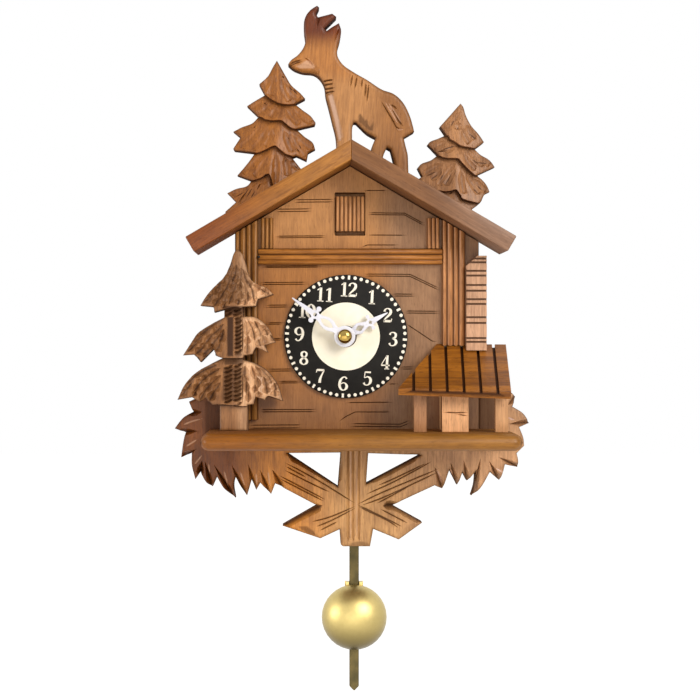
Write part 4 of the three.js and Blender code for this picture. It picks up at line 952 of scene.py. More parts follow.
# The drifts are painted shade: the leaves are darkest at the far left, away from the key lamp, and paler
# towards the right.
leaf_look = wood("leaf_wood", paint(111, 59, 14), contrast=1.0, bands=1.0, tooled=0.8, drifts=[
    ("X", -0.032, -0.020, paint(183, 119, 50)),
    ("X", -0.016, 0.000, paint(177, 133, 86)),
    ("X", 0.006, 0.030, paint(187, 142, 104)),
])
leaves = carved("leaf_wreath", "leaf_board", leaf_cuts, washes=leaf_stain_and_shade_washes)
placed(leaves, leaf_look, "clock_case", "carved_wood", "leaf_board")

# Trees: two firs that stand on the roof and a taller one in the yard. Each tier of boughs is
# cut back under the one above it, with a ridge down the middle and gouge marks between.
def tiers(lines, top, ridge, front, drop, ridge_slope=0.13, below=None):
    """The depth of a fir's surface: saw-toothed from tier to tier, and falling off the ridge."""
    steps = [resampled(np.array(traced(line, front)), carving_step) for line in lines]
    steps = [s[np.argsort(s[:, 0], kind="stable")] for s in steps]
    middle = np.array(traced(ridge, front))[::-1]
    tip = seen_at(0, top, front)[1]

    def depth(points):
        x, z = points[:, 0], points[:, 1]
        heights = [np.interp(x, s[:, 0], s[:, 1]) for s in steps]
        upper = np.full(len(x), max(tip, z.max() + 0.001))
        tip_now = upper[0]
        total = np.zeros(len(x))
        for height in heights + [np.full(len(x), z.min() - 0.004)]:
            here = (z >= height - nudge) & (z < upper - nudge)
            share = np.clip((z - height) / np.maximum(upper - height, 1e-6), 0, 1)
            first = upper >= tip_now
            total[here] = (np.where(first, 0.7 * drop, drop) * share ** 1.2)[here]
            upper = height
        if below is not None:
            total[z < heights[-1] - nudge] = below
        centre = np.interp(z, middle[:, 1], middle[:, 0])
        return total + ridge_slope * np.maximum(np.abs(x - centre) - 0.0008, 0)

    return depth, steps


def bough_marks(marks, front, half, depth, stain, start=0.3, end=0.05, scoop=True):
    return [gouge(traced(m, front), half, depth, stain, start, end, scoop) for m in marks]


def knife_ticks(ticks, front):
    return bough_marks(ticks, front, 0.00028, 0.0004, 0.95, 0.35, 0.35, False)


left_look = wood("fir_wood_left", paint(144, 90, 40), bands=1.2, pores=0.7, tooled=1.2)
right_look = wood("fir_wood_right", paint(154, 109, 73), bands=1.2, pores=0.7, tooled=1.2)
left_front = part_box("roof_tree_left")[0].y
left_tiers = [
    [(225, 92), (258, 92), (264.8, 93.8), (271, 98.4), (279, 102.5), (287, 103.9), (295.4, 103),
     (304, 99), (318, 97)],
    [(225, 112), (258.2, 115.7), (265, 118.6), (272, 119.8), (281, 119.8), (285.5, 122.6), (290.3, 126.4),
     (296.9, 128.5), (318, 129)],
    [(225, 152), (254.6, 152.4), (263.8, 149.9), (274.5, 145.3), (280, 149), (286.2, 153.5),
     (292.3, 155.5), (300, 159), (318, 163)],
    [(225, 182), (251, 180), (260.7, 177.4), (269.4, 173.9), (274, 190), (278, 210), (318, 215)],
]
left_marks = [
    ((271, 76), (266, 86), (262, 91)), ((275, 74), (272, 88), (270, 96)),
    ((281, 78), (284, 90), (290, 101)),
    ((285, 84), (292, 93), (300, 99)), ((262, 101), (254, 107), (250, 110)),
    ((270, 103), (264, 110), (258, 114)),
    ((276, 106), (274, 113), (270, 118)), ((286, 108), (292, 116), (300, 124)),
    ((293, 107), (302, 115), (312, 122)),
    ((258, 120), (246, 127), (236, 131)), ((262, 124), (253, 136), (240, 147)),
    ((268, 126), (262, 139), (252, 149)),
    ((272, 128), (270, 138), (266, 147)), ((284, 130), (288, 141), (293, 152)),
    ((290, 133), (298, 145), (306, 156)),
    ((296, 134), (304, 142), (313, 148)), ((262, 154), (252, 165), (242, 173)),
    ((268, 155), (262, 167), (254, 177)),
    ((276, 152), (276, 168), (274, 186)), ((284, 156), (287, 166), (288, 176)),
    ((290, 160), (296, 165), (300, 168)),
    ((252, 184), (243, 190), (232, 194)), ((258, 182), (248, 196), (240, 204)),
    ((264, 182), (258, 192), (252, 198)),
    ((268, 180), (265, 188), (262, 196)),
]
left_ticks = [
    ((282.5, 75.6), (284, 78)), ((289, 86), (292.4, 90.6)), ((292.4, 88.6), (297.4, 94)),
    ((264, 101.8), (265.6, 103.6)),
    ((255, 124.6), (253.6, 127.6)), ((243.4, 126), (245, 127.6)), ((287.6, 136.4), (289, 139)),
    ((298.6, 143.4), (301.8, 148.6)), ((296.4, 147.6), (300, 152)), ((286.4, 158), (285.2, 161.4)),
    ((294, 164.4), (298.4, 168)), ((249.4, 186.6), (238.6, 201.6)), ((252, 187), (246, 197)),
    ((255, 190), (250.6, 197)),
    ((260, 183), (257, 189)), ((266, 173), (263, 178)), ((244, 191), (235, 196.4)),
]
left_ridge = [(276.7, 60), (279.6, 100.9), (280.6, 120.3), (274, 144.8), (269.9, 216)]
form, steps = tiers(left_tiers, 59, left_ridge, left_front, 0.0016)
left_cuts = bough_marks(left_marks, left_front, 0.00110, 0.0004, 0.32)
left_cuts += knife_ticks(left_ticks, left_front)
left_tree = carved("fir_left", "roof_tree_left", left_cuts, form, steps)
placed(left_tree, left_look, "clock_case", "carved_wood", "roof_tree_left")

right_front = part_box("roof_tree_right")[0].y
right_tiers = [
    [(415, 130), (446.1, 134.5), (450.5, 138.5), (455.2, 141.2), (461.2, 145.2), (469, 146.6),
     (476.6, 147.2), (498, 142)],
    [(415, 150), (438.1, 154.6), (443, 156.6), (448.5, 157.6), (457.9, 158), (461.2, 161), (468.6, 168.7),
     (473, 172.4), (477.9, 174.7), (498, 172)],
    [(415, 186), (435.1, 189), (443.8, 190.8), (451, 190.4), (456.5, 189.4), (461, 195), (465.9, 199.5),
     (498, 206)],
]
right_marks = [
    ((461.2, 111.1), (456, 119), (451.5, 125.8)), ((459.2, 122), (458.6, 127), (457.9, 129.8)),
    ((466, 124), (470, 132), (475.3, 139.2)), ((463, 128), (466, 137), (470, 143)),
    ((454, 119), (450, 126), (445, 128)),
    ((456.5, 144.6), (450, 148.5), (444.5, 150.6)), ((446, 141), (440, 145), (434, 147)),
    ((468, 150), (476, 157), (484, 166)), ((473.9, 150), (482, 158), (491, 164)),
    ((464, 152), (468, 162), (476, 170)),
    ((443.8, 163), (434, 168), (424.4, 173.7)), ((441.8, 168), (437, 174), (431.1, 179.4)),
    ((456.5, 161.3), (448, 172), (437.8, 185.4)), ((456, 168), (450, 177), (445.5, 186)),
    ((466, 172), (472, 182), (480, 194)), ((474, 178), (481, 186), (487, 191)),
    ((461, 170), (462, 182), (464, 194)),
]
right_ridge = [(461.9, 103.7), (461.2, 143.9), (458.5, 159.3), (456.5, 188.8), (456, 214)]
form, steps = tiers(right_tiers, 102, right_ridge, right_front, 0.0017)
right_ticks = [
    ((454.6, 119.4), (451.4, 125.8)), ((458.6, 126.4), (457.8, 130)), ((469.8, 133.6), (476.8, 139)),
    ((456, 144.8), (442, 149.4)), ((438, 151.4), (447, 150)), ((477, 161.6), (488.6, 163)),
    ((472.6, 158), (480, 164.4)),
    ((427, 175.4), (437, 170.8)), ((431.8, 178.4), (438.4, 174)), ((440.4, 180), (444.4, 172.8)),
    ((445.8, 184), (451.2, 174.8)),
    ((473.4, 187.6), (479, 193.4)), ((477.8, 184.6), (483, 190)), ((449, 193), (453.6, 192)),
]
right_cuts = bough_marks(right_marks, right_front, 0.00100, 0.0005, 0.38)
right_cuts += knife_ticks(right_ticks, right_front)
right_tree = carved("fir_right", "roof_tree_right", right_cuts, form, steps)
placed(right_tree, right_look, "clock_case", "carved_wood", "roof_tree_right")

yard_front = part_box("yard_tree")[0].y
yard_tiers = [
    [(170, 303), (201.5, 307.6), (213.2, 307.8), (215.2, 313), (224.8, 308.7), (235.8, 306.6),
     (242.7, 308), (256.4, 306.6), (257.8, 299.8), (272.8, 295.6), (290, 290)],
    [(170, 358), (196.1, 356.3), (201.5, 363), (213.9, 350.8), (216.6, 357.3), (250.9, 356.7),
     (255, 347.8), (266, 353.9), (275.6, 344.3), (290, 342)],
    [(170, 402), (192.6, 400.2), (200.2, 403.6), (207, 400.2), (211.1, 406.3), (222.1, 404.3),
     (241.3, 406), (252.3, 405.3), (255, 398.8), (264.6, 401.5), (268.7, 396), (290, 404)],
]
yard_marks = [
    ((233.8, 259.7), (226.9, 276.1), (211.1, 295.3), (204.3, 302.2)),
    ((235.1, 265.2), (230.3, 280.2), (222.1, 294), (215.2, 306.3)),
    ((237.2, 262.5), (233.8, 281.6), (227.6, 296.7), (222.8, 309)),
    ((238.6, 265.3), (237.2, 284.4), (231.7, 299.4), (230, 306)),
    ((240.3, 265.3), (241.3, 287.1), (238.6, 305)),
    ((241, 268), (245.8, 287.1), (246.8, 305.6)),
    ((243.8, 274.5), (251.3, 287.1), (254, 304.2)),
    ((250.3, 283), (261.2, 289.8), (270.1, 294)),
    ((224.2, 318), (205.7, 331.7), (187.8, 351.9)), ((223.5, 322.8), (211.1, 336.5), (196.1, 354.3)),
    ((224.2, 326.5), (216.6, 340.2), (203.5, 357.4)), ((224.8, 333), (220.7, 344), (216.2, 352.6)),
    ((244.7, 318.6), (248.2, 333.7), (249.5, 354.9)), ((247.5, 318), (254, 331), (258.5, 346.4)),
    ((252, 318.6), (261.2, 331), (268.5, 346.3)), ((258, 323), (266, 331), (273, 341)),
    ((218, 363.9), (197.4, 374.9), (181, 396.8)), ((220.7, 368), (202.9, 380.3), (190.6, 396.8)),
    ((221.1, 374.1), (209.8, 384.5), (198.8, 400.5)), ((222, 380), (215.2, 390.9), (209.4, 402.3)),
    ((244.7, 363.9), (246.8, 379), (248.2, 402.9)), ((248.9, 363.9), (255.8, 380.3), (257.1, 398.2)),
    ((254.8, 365.3), (264.3, 380.3), (268.1, 394.4)), ((260.2, 368), (272.6, 383.1), (278.1, 398.2)),
]
chance = random.Random(7)
yard_cuts = []
for mark in yard_marks:
    course = resampled(np.array(mark, float), 1.0)
    start = chance.randint(0, 3)
    while start < len(course) - 6:
        end = min(len(course), start + chance.randint(9, 18))
        lean = np.linspace(0, chance.uniform(-2.4, 0.8), end - start)
        chip = course[start:end] + np.column_stack([lean + chance.uniform(-1.4, 1.4), np.zeros(end - start)])
        half, depth = chance.uniform(0.0008, 0.0013), chance.uniform(0.0008, 0.0015)
        yard_cuts += bough_marks([chip], yard_front, half, depth, chance.uniform(0.5, 1.0), 0.5, 0.3)
        start = end - chance.randint(2, 5)
scale_rows = [(234, 242.2, y) for y in np.arange(317, 353, 4.2)]
scale_rows += [(223.5, 232.5, y) for y in np.arange(367, 403, 4.2)]
scale_rows += [(233, 242, y) for y in np.arange(365, 403, 4.2)]
scale_rows += [(x, x + 9, y) for x in (223, 232.6, 242.4) for y in (308.6, 313)]
for left, right, y in scale_rows:
    y += chance.uniform(-0.5, 0.5)
    sag = 2.0 + chance.uniform(-0.4, 0.4)
    bow = [(left, y + 1.8), (left + (right - left) * 0.45, y + sag), (right, y - 1.4)]
    yard_cuts += bough_marks([bow], yard_front, 0.00050, 0.0009, chance.uniform(0.7, 1.0), 0.15, 0.25, False)
yard_cuts += knife_ticks([((242.6, 362), (242.4, 403)), ((242.6, 318), (242.4, 354))], yard_front)
yard_washes = [
    ([(226, 316), (234, 316), (234, 357), (226.4, 357)], 1.0),
    ([(221, 305), (249, 305), (247, 316), (224, 316)], 0.75),
    ([(223, 357), (246, 357), (243, 366), (223, 366)], 0.7),
    ([(234, 350), (243, 350), (243, 357), (234, 357)], 0.7),
    ([(234, 316), (242, 316), (242, 350), (234, 350)], 0.7),
    ([(222, 366), (242.4, 366), (242, 402), (221, 402)], 0.64),
    ([(233, 247), (243, 247), (253, 283), (248, 303), (198, 306), (218, 282)], 0.4),
]
yard_washes = [(traced(ring, yard_front), strength) for ring, strength in yard_washes]
form, steps = tiers(yard_tiers, 249, [(238, 249), (238, 310), (234, 360), (232, 431)],
                    yard_front, 0.0022, 0.16, 0.0012)
yard_tree = carved("fir_yard", "yard_tree", yard_cuts, form, steps, yard_washes, 0.0004)
# The drift paints light and shade: the tree's left wings are kept dark as if in shade, and the rest is
# painted paler and pinker where the light falls.
yard_look = wood("yard_tree_wood", paint(137, 94, 58), bands=0.9, pores=0.6, tooled=1.2, drifts=[
    ("X", -0.030, -0.026, paint(205, 160, 122)),
])
placed(yard_tree, yard_look, "clock_case", "carved_wood", "yard_tree")

# Chamois: a standing goat on the ridge, sawn out and touched up with the knife. Its chest and
# muzzle are cut flat, its back and haunch are scored.
chamois_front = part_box("chamois")[0].y

coat_lines = [
    ((323, 81.6), (328, 80.4), (333.4, 79.8)), ((323.8, 85.2), (328, 84.4), (333.6, 83.6)),
    ((324.4, 89.2), (329, 88.6), (334.2, 87.6)), ((325, 93), (330, 92), (334.6, 91.2)),
]
back_scores = [
    ((352.6, 74.8), (351.6, 80), (350.5, 86.7)), ((357, 75.9), (356, 82), (354.8, 88.4)),
    ((362.4, 79), (361.8, 83), (361.6, 87)),
    ((366, 82.4), (365.6, 90), (364.6, 97)), ((368.9, 83.5), (368, 92), (366.7, 101.9)),
    ((380.8, 100.8), (386.2, 109.5), (393.8, 122.5), (398.2, 132)),
    ((390, 104.6), (395, 114), (400.4, 122.6), (403.6, 126.3)),
    ((390.6, 104.8), (394, 106.4), (397, 109.4)), ((392, 108), (396.4, 117), (401.6, 125.6)),
    ((395, 125.8), (398, 128.4), (401.6, 130)),
    ((339.1, 28.2), (337, 34), (334.2, 41)),
]
jaw_lines = [
    ((290, 63.8), (295, 61.6), (302, 59.8)), ((291.4, 65), (297, 62.6), (302, 61.6)),
    ((305, 57.8), (309, 61), (313.6, 66.6)),
]
chest_cut = [((324.6, 92), (327.4, 104), (330.4, 116), (333.6, 129), (336.6, 143))]
muzzle_cut = [((289, 65.5), (296, 69.6), (304, 71.6), (313, 72.6), (318.4, 75.4))]
horn_line = [((319.2, 17), (318.2, 21), (317.6, 27))]
chamois_washes = [
    ([(327.4, 94.4), (332.4, 93.4), (336, 106), (339.3, 120), (342.4, 142), (338, 142), (333.6, 120),
      (329.6, 104)], -1.0),
    ([(293, 65.6), (300, 63.6), (304, 60.6), (308.4, 58), (312.6, 62), (316, 66.4), (314.6, 69),
      (299.6, 69)], -0.8),
    ([(360.2, 111.6), (357.8, 115), (357.4, 121.8), (366.7, 130), (373.4, 133.2), (375, 121.4),
      (373.2, 120.2), (370, 125.8),
      (367.3, 117), (365.6, 119.3)], 0.62),
    ([(333.4, 39.6), (337, 30), (339, 29), (337.6, 36), (335, 41)], -0.6),
]
chamois_washes = [(traced(ring, chamois_front), strength) for ring, strength in chamois_washes]
pale_arcs = [
    ((385, 102), (391.6, 112), (398, 123.6)), ((388.6, 103), (395, 112.6), (401, 122)),
    ((396, 128), (400, 129.6), (404, 129)),
]
chamois_cuts = [
    gouge(traced(path, chamois_front), *tool)
    for paths, *tool in (
        (coat_lines, 0.00032, 0.00045, 1.0, 0.12, 0.2),
        (back_scores, 0.00030, 0.00035, 0.75, 0.3, 0.3),
        (chest_cut, 0.0021, 0.0016, 0.0, 0.06, 0.06),
        (muzzle_cut, 0.0020, 0.0010, 0.0, 0.06, 0.06),
        (pale_arcs, 0.00038, 0.0002, -1.0, 0.3, 0.3),
        (jaw_lines, 0.00030, 0.0004, 0.9, 0.2, 0.3),
        (horn_line, 0.0006, 0.0005, 0.5, 0.1, 0.7),
    )
    for path in paths
]
chamois_drifts = [
    ("X", 0.002, 0.012, paint(141, 93, 49)),
    ("Z", 0.0650, 0.0710, paint(173, 115, 61)),
    ("Z", 0.0745, 0.0805, paint(97, 43, 10)),
]
chamois_look = wood("chamois_wood", paint(172, 122, 75), lean=-4, contrast=0.75, bands=1.1, pores=0.4,
                    tooled=0.7, drifts=chamois_drifts)
chamois = carved("mountain_goat", "chamois", chamois_cuts, washes=chamois_washes, rim=0.0009, rim_drop=0.0005)
placed(chamois, chamois_look, "clock_case", "carved_wood", "chamois")

# Porch: a sloping roof of grooved boards on two posts, with a small closed room under it.
# The grain lies along the shelf, across the saw cuts between the boards.
porch_look = wood("porch_wood", paint(143, 87, 23), lean=90, bands=3.0, pores=1.0)
post_tone = paint(163, 117, 82)
# The drifts are painted light: the posts and the annex are painted paler than the base tone, as if lit,
# though the porch roof shades them.
post_look = wood("porch_post_wood", post_tone, contrast=0.6, bands=0.6, pores=0.6, lacquer=0.1, drifts=[
    ("X", 0.0195, 0.0215, paint(218, 165, 120)),
    ("X", 0.0310, 0.0340, paint(194, 147, 106)),
])
porch_turn, porch_pitch, porch_roll = math.radians(-3), math.radians(28.5), math.radians(2)
slope_normal = Vector((0, -math.sin(porch_pitch), math.cos(porch_pitch)))
slope_normal = Matrix.Rotation(porch_turn, 3, "Z") @ Matrix.Rotation(porch_roll, 3, "Y") @ slope_normal
porch_roof = softened("board_roof", "porch_roof", 0.00015, 1)
heights = np.array([v.co for v in porch_roof.data.vertices]) @ np.array(slope_normal)
stain_cuts(porch_roof, lambda p: heights.max() - p @ np.array(slope_normal), 0.00035, 0.0009, 0.9)
placed(porch_roof, porch_look, "clock_case", "roof_wood", "porch_roof")
porch_blocks = {"post_left": "porch_post_left", "post_right": "porch_post_right", "annex": "annex_block"}
for name, node in porch_blocks.items():
    post = softened(name, node, 0.00018, 2)
    if name == "annex":
        face = max((p for p in post.data.polygons if p.normal.y < -0.9), key=lambda p: p.area)
        spot, lean = Vector(face.center), face.normal.x / face.normal.y
        strokes_at = [
            [(442, 412.2), (456, 412.8), (469.2, 412.4)], [(455, 413.8), (463, 415.2), (469.2, 416.2)],
        ]
        annex_lines = [traced(stroke, spot.y) for stroke in strokes_at]
        grooved(post, annex_lines, lambda x: spot.y - (x - spot.x) * lean, 0.0002, 0.0003)
    placed(post, post_look, "clock_case", "front_wood", node)

# Dial: a black printed disc with a cream centre, a ring of minute dots and twelve numbers.
dial_low, dial_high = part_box("dial")
dial_centre = ((dial_low.x + dial_high.x) / 2, (dial_low.z + dial_high.z) / 2)


def enamel(name, colour, other, roughness, grain=6.0, bump_depth=0.00001, coat=0.0, metal=0.0, mottle=0.5,
           shine=0.5):
    """A painted, moulded or metal surface with faint mottling and a fine skin."""
    look = bpy.data.materials.new(name)
    look.use_nodes = True
    tree = look.node_tree
    shader = tree.nodes["Principled BSDF"]
    where = tree.nodes.new("ShaderNodeTexCoord")
    coarse = stretched_noise(tree, where.outputs["Object"], (mm, mm, mm), grain * 0.06, 3)
    fine = stretched_noise(tree, where.outputs["Object"], (mm, mm, mm), grain, 2)
    mottled = blended(tree, ranged(tree, coarse, 0.5 - mottle / 2, 0.5 + mottle / 2), colour, other)
    tree.links.new(mottled, shader.inputs["Base Color"])
    skin = ranged(tree, fine, 0.2, 0.8, roughness * 0.85, roughness * 1.2)
    tree.links.new(skin, shader.inputs["Roughness"])
    bump = tree.nodes.new("ShaderNodeBump")
    bump.inputs["Strength"].default_value = 0.5
    bump.inputs["Distance"].default_value = bump_depth
    tree.links.new(fine, bump.inputs["Height"])
    tree.links.new(bump.outputs["Normal"], shader.inputs["Normal"])
    shader.inputs["Metallic"].default_value = metal
    shader.inputs["Specular IOR Level"].default_value = shine
    shader.inputs["Coat Weight"].default_value = coat
    shader.inputs["Coat Roughness"].default_value = roughness
    return look


dial_black = enamel("dial_black", paint(20, 18, 16), paint(29, 27, 24), 0.6, shine=0.15)
dial_cream = enamel("dial_cream", paint(252, 246, 228), paint(248, 240, 218), 0.5, shine=0.2)
dial_white = enamel("dial_white", paint(246, 240, 226), paint(238, 230, 212), 0.5)
plate = softened("dial_plate", "dial", 0.00022, 2)
placed(plate, dial_black, "clock_case", "dial_face", "dial")
print_front = dial_low.y - 0.00004
print_thick = 0.00003


def printed(name, outlines, look):
    """Flat printed shapes on the dial, each outline a ring of (x, z) from the dial's centre."""
    points, faces = [], []
    for ring in outlines:
        first, count = len(points), len(ring)
        for y in (print_front, print_front + print_thick):
            points += [(dial_centre[0] + x, y, dial_centre[1] + z) for x, z in ring]
        faces.append(tuple(range(first, first + count)))
        faces.append(tuple(range(first + 2 * count - 1, first + count - 1, -1)))
        faces += [(first + i, first + count + i, first + count + (i + 1) % count, first + (i + 1) % count)
                  for i in range(count)]
    piece = built(name, points, faces)
    bpy.ops.object.mode_set(mode="EDIT")
    bpy.ops.mesh.select_all(action="SELECT")
    bpy.ops.mesh.quads_convert_to_tris()
    bpy.ops.mesh.normals_make_consistent(inside=False)
    bpy.ops.object.mode_set(mode="OBJECT")
    return placed(piece, look, "clock_case", "dial_face")


def ring_of(radius, sides, x=0.0, z=0.0):
    return [(x + radius * math.cos(2 * math.pi * i / sides), z + radius * math.sin(2 * math.pi * i / sides))
            for i in range(sides)]


print_turn = math.radians(3)
centre_radius, centre_bore = 0.0088, 0.0028
sides, quarter = 120, 30
outer = ring_of(centre_radius, sides)
inner = ring_of(centre_bore, sides)
wedges = []
for start in range(0, sides, quarter):
    span = [i % sides for i in range(start, start + quarter + 1)]
    wedges.append([outer[i] for i in span] + [inner[i] for i in reversed(span)])
printed("dial_centre", wedges, dial_cream)
dots = []
dot_circle, dot_radius = 0.0153, 0.00044
bar_reach, bar_half = 0.00052, 0.00029
bar_corners = ((1, 1), (-1, 1), (-1, -1), (1, -1))
for minute in range(60):
    angle = math.radians(6 * minute) + print_turn
    x, z = dot_circle * math.sin(angle), dot_circle * math.cos(angle)
    if minute % 5:
        dots.append(ring_of(dot_radius, 18, x, z))
        continue
    away = Vector((math.sin(angle), math.cos(angle)))
    side = Vector((math.cos(angle), -math.sin(angle)))
    dots.append([tuple(Vector((x, z)) + away * a * bar_reach + side * s * bar_half) for a, s in bar_corners])
printed("dial_minutes", dots, dial_white)

digit_height = 0.0037
strokes = {
    "0": [[(0.30, 0.5, 0.10), (0.20, 0.22, 0.10), (0.0, 0.03, 0.035), (-0.20, 0.22, 0.10),
           (-0.30, 0.5, 0.10),
           (-0.20, 0.78, 0.10), (0.0, 0.97, 0.035), (0.20, 0.78, 0.10), (0.30, 0.5, 0.10)]],
    "1": [[(0.04, 0.02, 0.095), (0.04, 0.98, 0.095)], [(-0.20, 0.03, 0.03), (0.27, 0.03, 0.03)],
          [(0.0, 0.93, 0.05), (-0.20, 0.80, 0.03)]],
    "2": [[(-0.25, 0.74, 0.09), (-0.22, 0.88, 0.05), (-0.03, 0.965, 0.035), (0.18, 0.86, 0.09),
           (0.18, 0.64, 0.10), (0.0, 0.42, 0.07),
           (-0.20, 0.22, 0.05), (-0.28, 0.06, 0.05)], [(-0.30, 0.08, 0.08), (0.22, 0.08, 0.08)],
          [(0.26, 0.05, 0.03), (0.30, 0.27, 0.03)]],
    "3": [[(-0.24, 0.78, 0.08), (-0.18, 0.91, 0.04), (0.0, 0.965, 0.035), (0.18, 0.86, 0.08),
           (0.16, 0.63, 0.08), (-0.06, 0.53, 0.03)],
          [(-0.06, 0.53, 0.03), (0.18, 0.44, 0.08), (0.24, 0.24, 0.10), (0.08, 0.05, 0.045),
           (-0.16, 0.05, 0.04), (-0.25, 0.20, 0.08)]],
    "4": [[(0.12, 0.02, 0.09), (0.12, 0.98, 0.09)], [(0.08, 0.94, 0.03), (-0.30, 0.30, 0.03)],
          [(-0.32, 0.28, 0.045), (0.32, 0.28, 0.045)],
          [(-0.06, 0.03, 0.03), (0.30, 0.03, 0.03)]],
    "5": [[(-0.18, 0.94, 0.05), (0.24, 0.94, 0.06)], [(-0.18, 0.96, 0.03), (-0.22, 0.54, 0.03)],
          [(-0.22, 0.53, 0.03), (0.02, 0.62, 0.045), (0.22, 0.50, 0.09), (0.24, 0.26, 0.10),
           (0.08, 0.06, 0.045), (-0.14, 0.05, 0.04), (-0.25, 0.19, 0.08)]],
    "6": [[(0.22, 0.84, 0.07), (0.12, 0.95, 0.04), (-0.06, 0.93, 0.045), (-0.24, 0.70, 0.09),
           (-0.28, 0.36, 0.10), (-0.16, 0.10, 0.07), (0.04, 0.04, 0.035),
           (0.22, 0.18, 0.09), (0.24, 0.38, 0.09), (0.08, 0.55, 0.035), (-0.12, 0.52, 0.035),
           (-0.22, 0.42, 0.03)]],
    "7": [[(-0.26, 0.92, 0.07), (0.26, 0.92, 0.07)],
          [(0.27, 0.94, 0.04), (0.10, 0.56, 0.06), (0.0, 0.30, 0.09), (-0.03, 0.02, 0.10)],
          [(-0.27, 0.96, 0.03), (-0.30, 0.74, 0.03)]],
    "8": [[(0.0, 0.965, 0.035), (-0.18, 0.84, 0.08), (-0.16, 0.64, 0.08), (0.0, 0.53, 0.06),
           (0.20, 0.38, 0.08), (0.22, 0.18, 0.09), (0.0, 0.035, 0.035),
           (-0.22, 0.18, 0.09), (-0.20, 0.38, 0.08), (0.0, 0.53, 0.06), (0.16, 0.66, 0.07),
           (0.17, 0.84, 0.07), (0.0, 0.965, 0.035)]],
    "9": [[(-0.22, 0.16, 0.07), (-0.12, 0.05, 0.04), (0.06, 0.07, 0.045), (0.24, 0.30, 0.09),
           (0.28, 0.64, 0.10), (0.16, 0.90, 0.07), (-0.04, 0.96, 0.035),
           (-0.22, 0.82, 0.09), (-0.24, 0.62, 0.09), (-0.08, 0.45, 0.035), (0.12, 0.48, 0.035),
           (0.22, 0.58, 0.03)]],
}


def pen_stroke(marks):
    """Rings of a pen stroke that swells and thins: marks are (x, z, half width)."""
    marks = resampled(np.array(marks, float), 0.09)
    normal = sideways(np.gradient(marks[:, :2], axis=0))
    left = (marks[:, :2] + normal * marks[:, 2:]).tolist()
    right = (marks[:, :2] - normal * marks[:, 2:]).tolist()
    return [[left[i], left[i + 1], right[i + 1], right[i]] for i in range(len(marks) - 1)]


numbers = []
number_circle, advance, digit_width = 0.0122, 0.62, 0.95
for hour in range(1, 13):
    angle = math.radians(30 * hour) + print_turn
    digits = str(hour)
    for place_in_number, digit in enumerate(digits):
        offset = (place_in_number - (len(digits) - 1) / 2) * advance
        for stroke in strokes[digit]:
            for quad in pen_stroke(stroke):
                ring = []
                for x, z in quad:
                    x, z = (x * digit_width + offset) * digit_height, (z - 0.5) * digit_height
                    turned_x = x * math.cos(print_turn) + z * math.sin(print_turn)
                    turned_z = -x * math.sin(print_turn) + z * math.cos(print_turn)
                    across, up = number_circle * math.sin(angle), number_circle * math.cos(angle)
                    ring.append((across + turned_x, up + turned_z))
                numbers.append(ring)
printed("dial_numbers", numbers, dial_white)

# Hands: stamped from thin sheet and lacquered white, held on the arbor by a domed brass nut.
hand_white = enamel("hand_white", paint(222, 222, 232), paint(214, 214, 226), 0.35, coat=0.2)
brass = enamel("polished_brass", paint(232, 190, 110), paint(214, 168, 86), 0.22, grain=9, metal=1.0)
nut_brass = enamel("nut_brass", paint(176, 150, 84), paint(150, 122, 62), 0.10, grain=9, metal=1.0)
nut_low, nut_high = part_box("hand_nut")
hub = Vector(((nut_low.x + nut_high.x) / 2, (nut_low.z + nut_high.z) / 2))


def spine(profile):
    """A ring symmetrical about a hand's own axis, from (reach, half width) pairs in mm."""
    side = resampled(np.array(profile, float), 0.25)
    return [(r, w) for r, w in side] + [(r, -w) for r, w in reversed(side.tolist())]


def stamped_hand(name, node, solids, holes, body):
    """A hand stamped from sheet: its rings joined, less the holes, turned as the CAD hand is."""
    places = np.array([v.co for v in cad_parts[node].data.vertices])
    flat = places[:, [0, 2]] - np.array(hub)
    far = np.linalg.norm(flat, axis=1)
    course = flat[far.argmax()] / far.max()
    across = np.array([-course[1], course[0]])
    scale = far.max() / max(r for ring in solids for r, _ in ring)
    bore = ring_of(far.min() * 1.02 / scale, 32)

    def turned(ring):
        return np.array([np.array(hub) + course * r * scale + across * w * scale for r, w in ring])

    solids = [turned(r) for r in solids]
    holes = [turned(r) for r in holes + [bore]]
    points, edges = [], []
    for ring in solids + holes:
        first = len(points)
        points.extend(ring)
        edges += [(first + i, first + (i + 1) % len(ring)) for i in range(len(ring))]

    def wanted(corners):
        middle = corners.mean(axis=1)
        solid = np.any([inside(middle, [r]) for r in solids], axis=0)
        return solid & ~np.any([inside(middle, [r]) for r in holes], axis=0)

    spots, faces = triangulated(points, edges, wanted)
    front, behind = (
        np.column_stack([spots[:, 0], np.full(len(spots), y), spots[:, 1]])
        for y in (places[:, 1].min(), places[:, 1].max())
    )
    piece, _ = board_of(name, front, behind, faces)
    bpy.ops.object.mode_set(mode="EDIT")
    bpy.ops.mesh.dissolve_limited(angle_limit=math.radians(1))
    bpy.ops.object.mode_set(mode="OBJECT")
    bevel = piece.modifiers.new("eased", "BEVEL")
    bevel.width = 0.00010
    bevel.segments = 2
    bevel.limit_method = "ANGLE"
    bevel.angle_limit = math.radians(60)
    bpy.ops.object.modifier_apply(modifier="eased")
    bpy.ops.object.shade_smooth_by_angle(angle=math.radians(40))
    return placed(piece, hand_white, body, "hand_plastic", node)


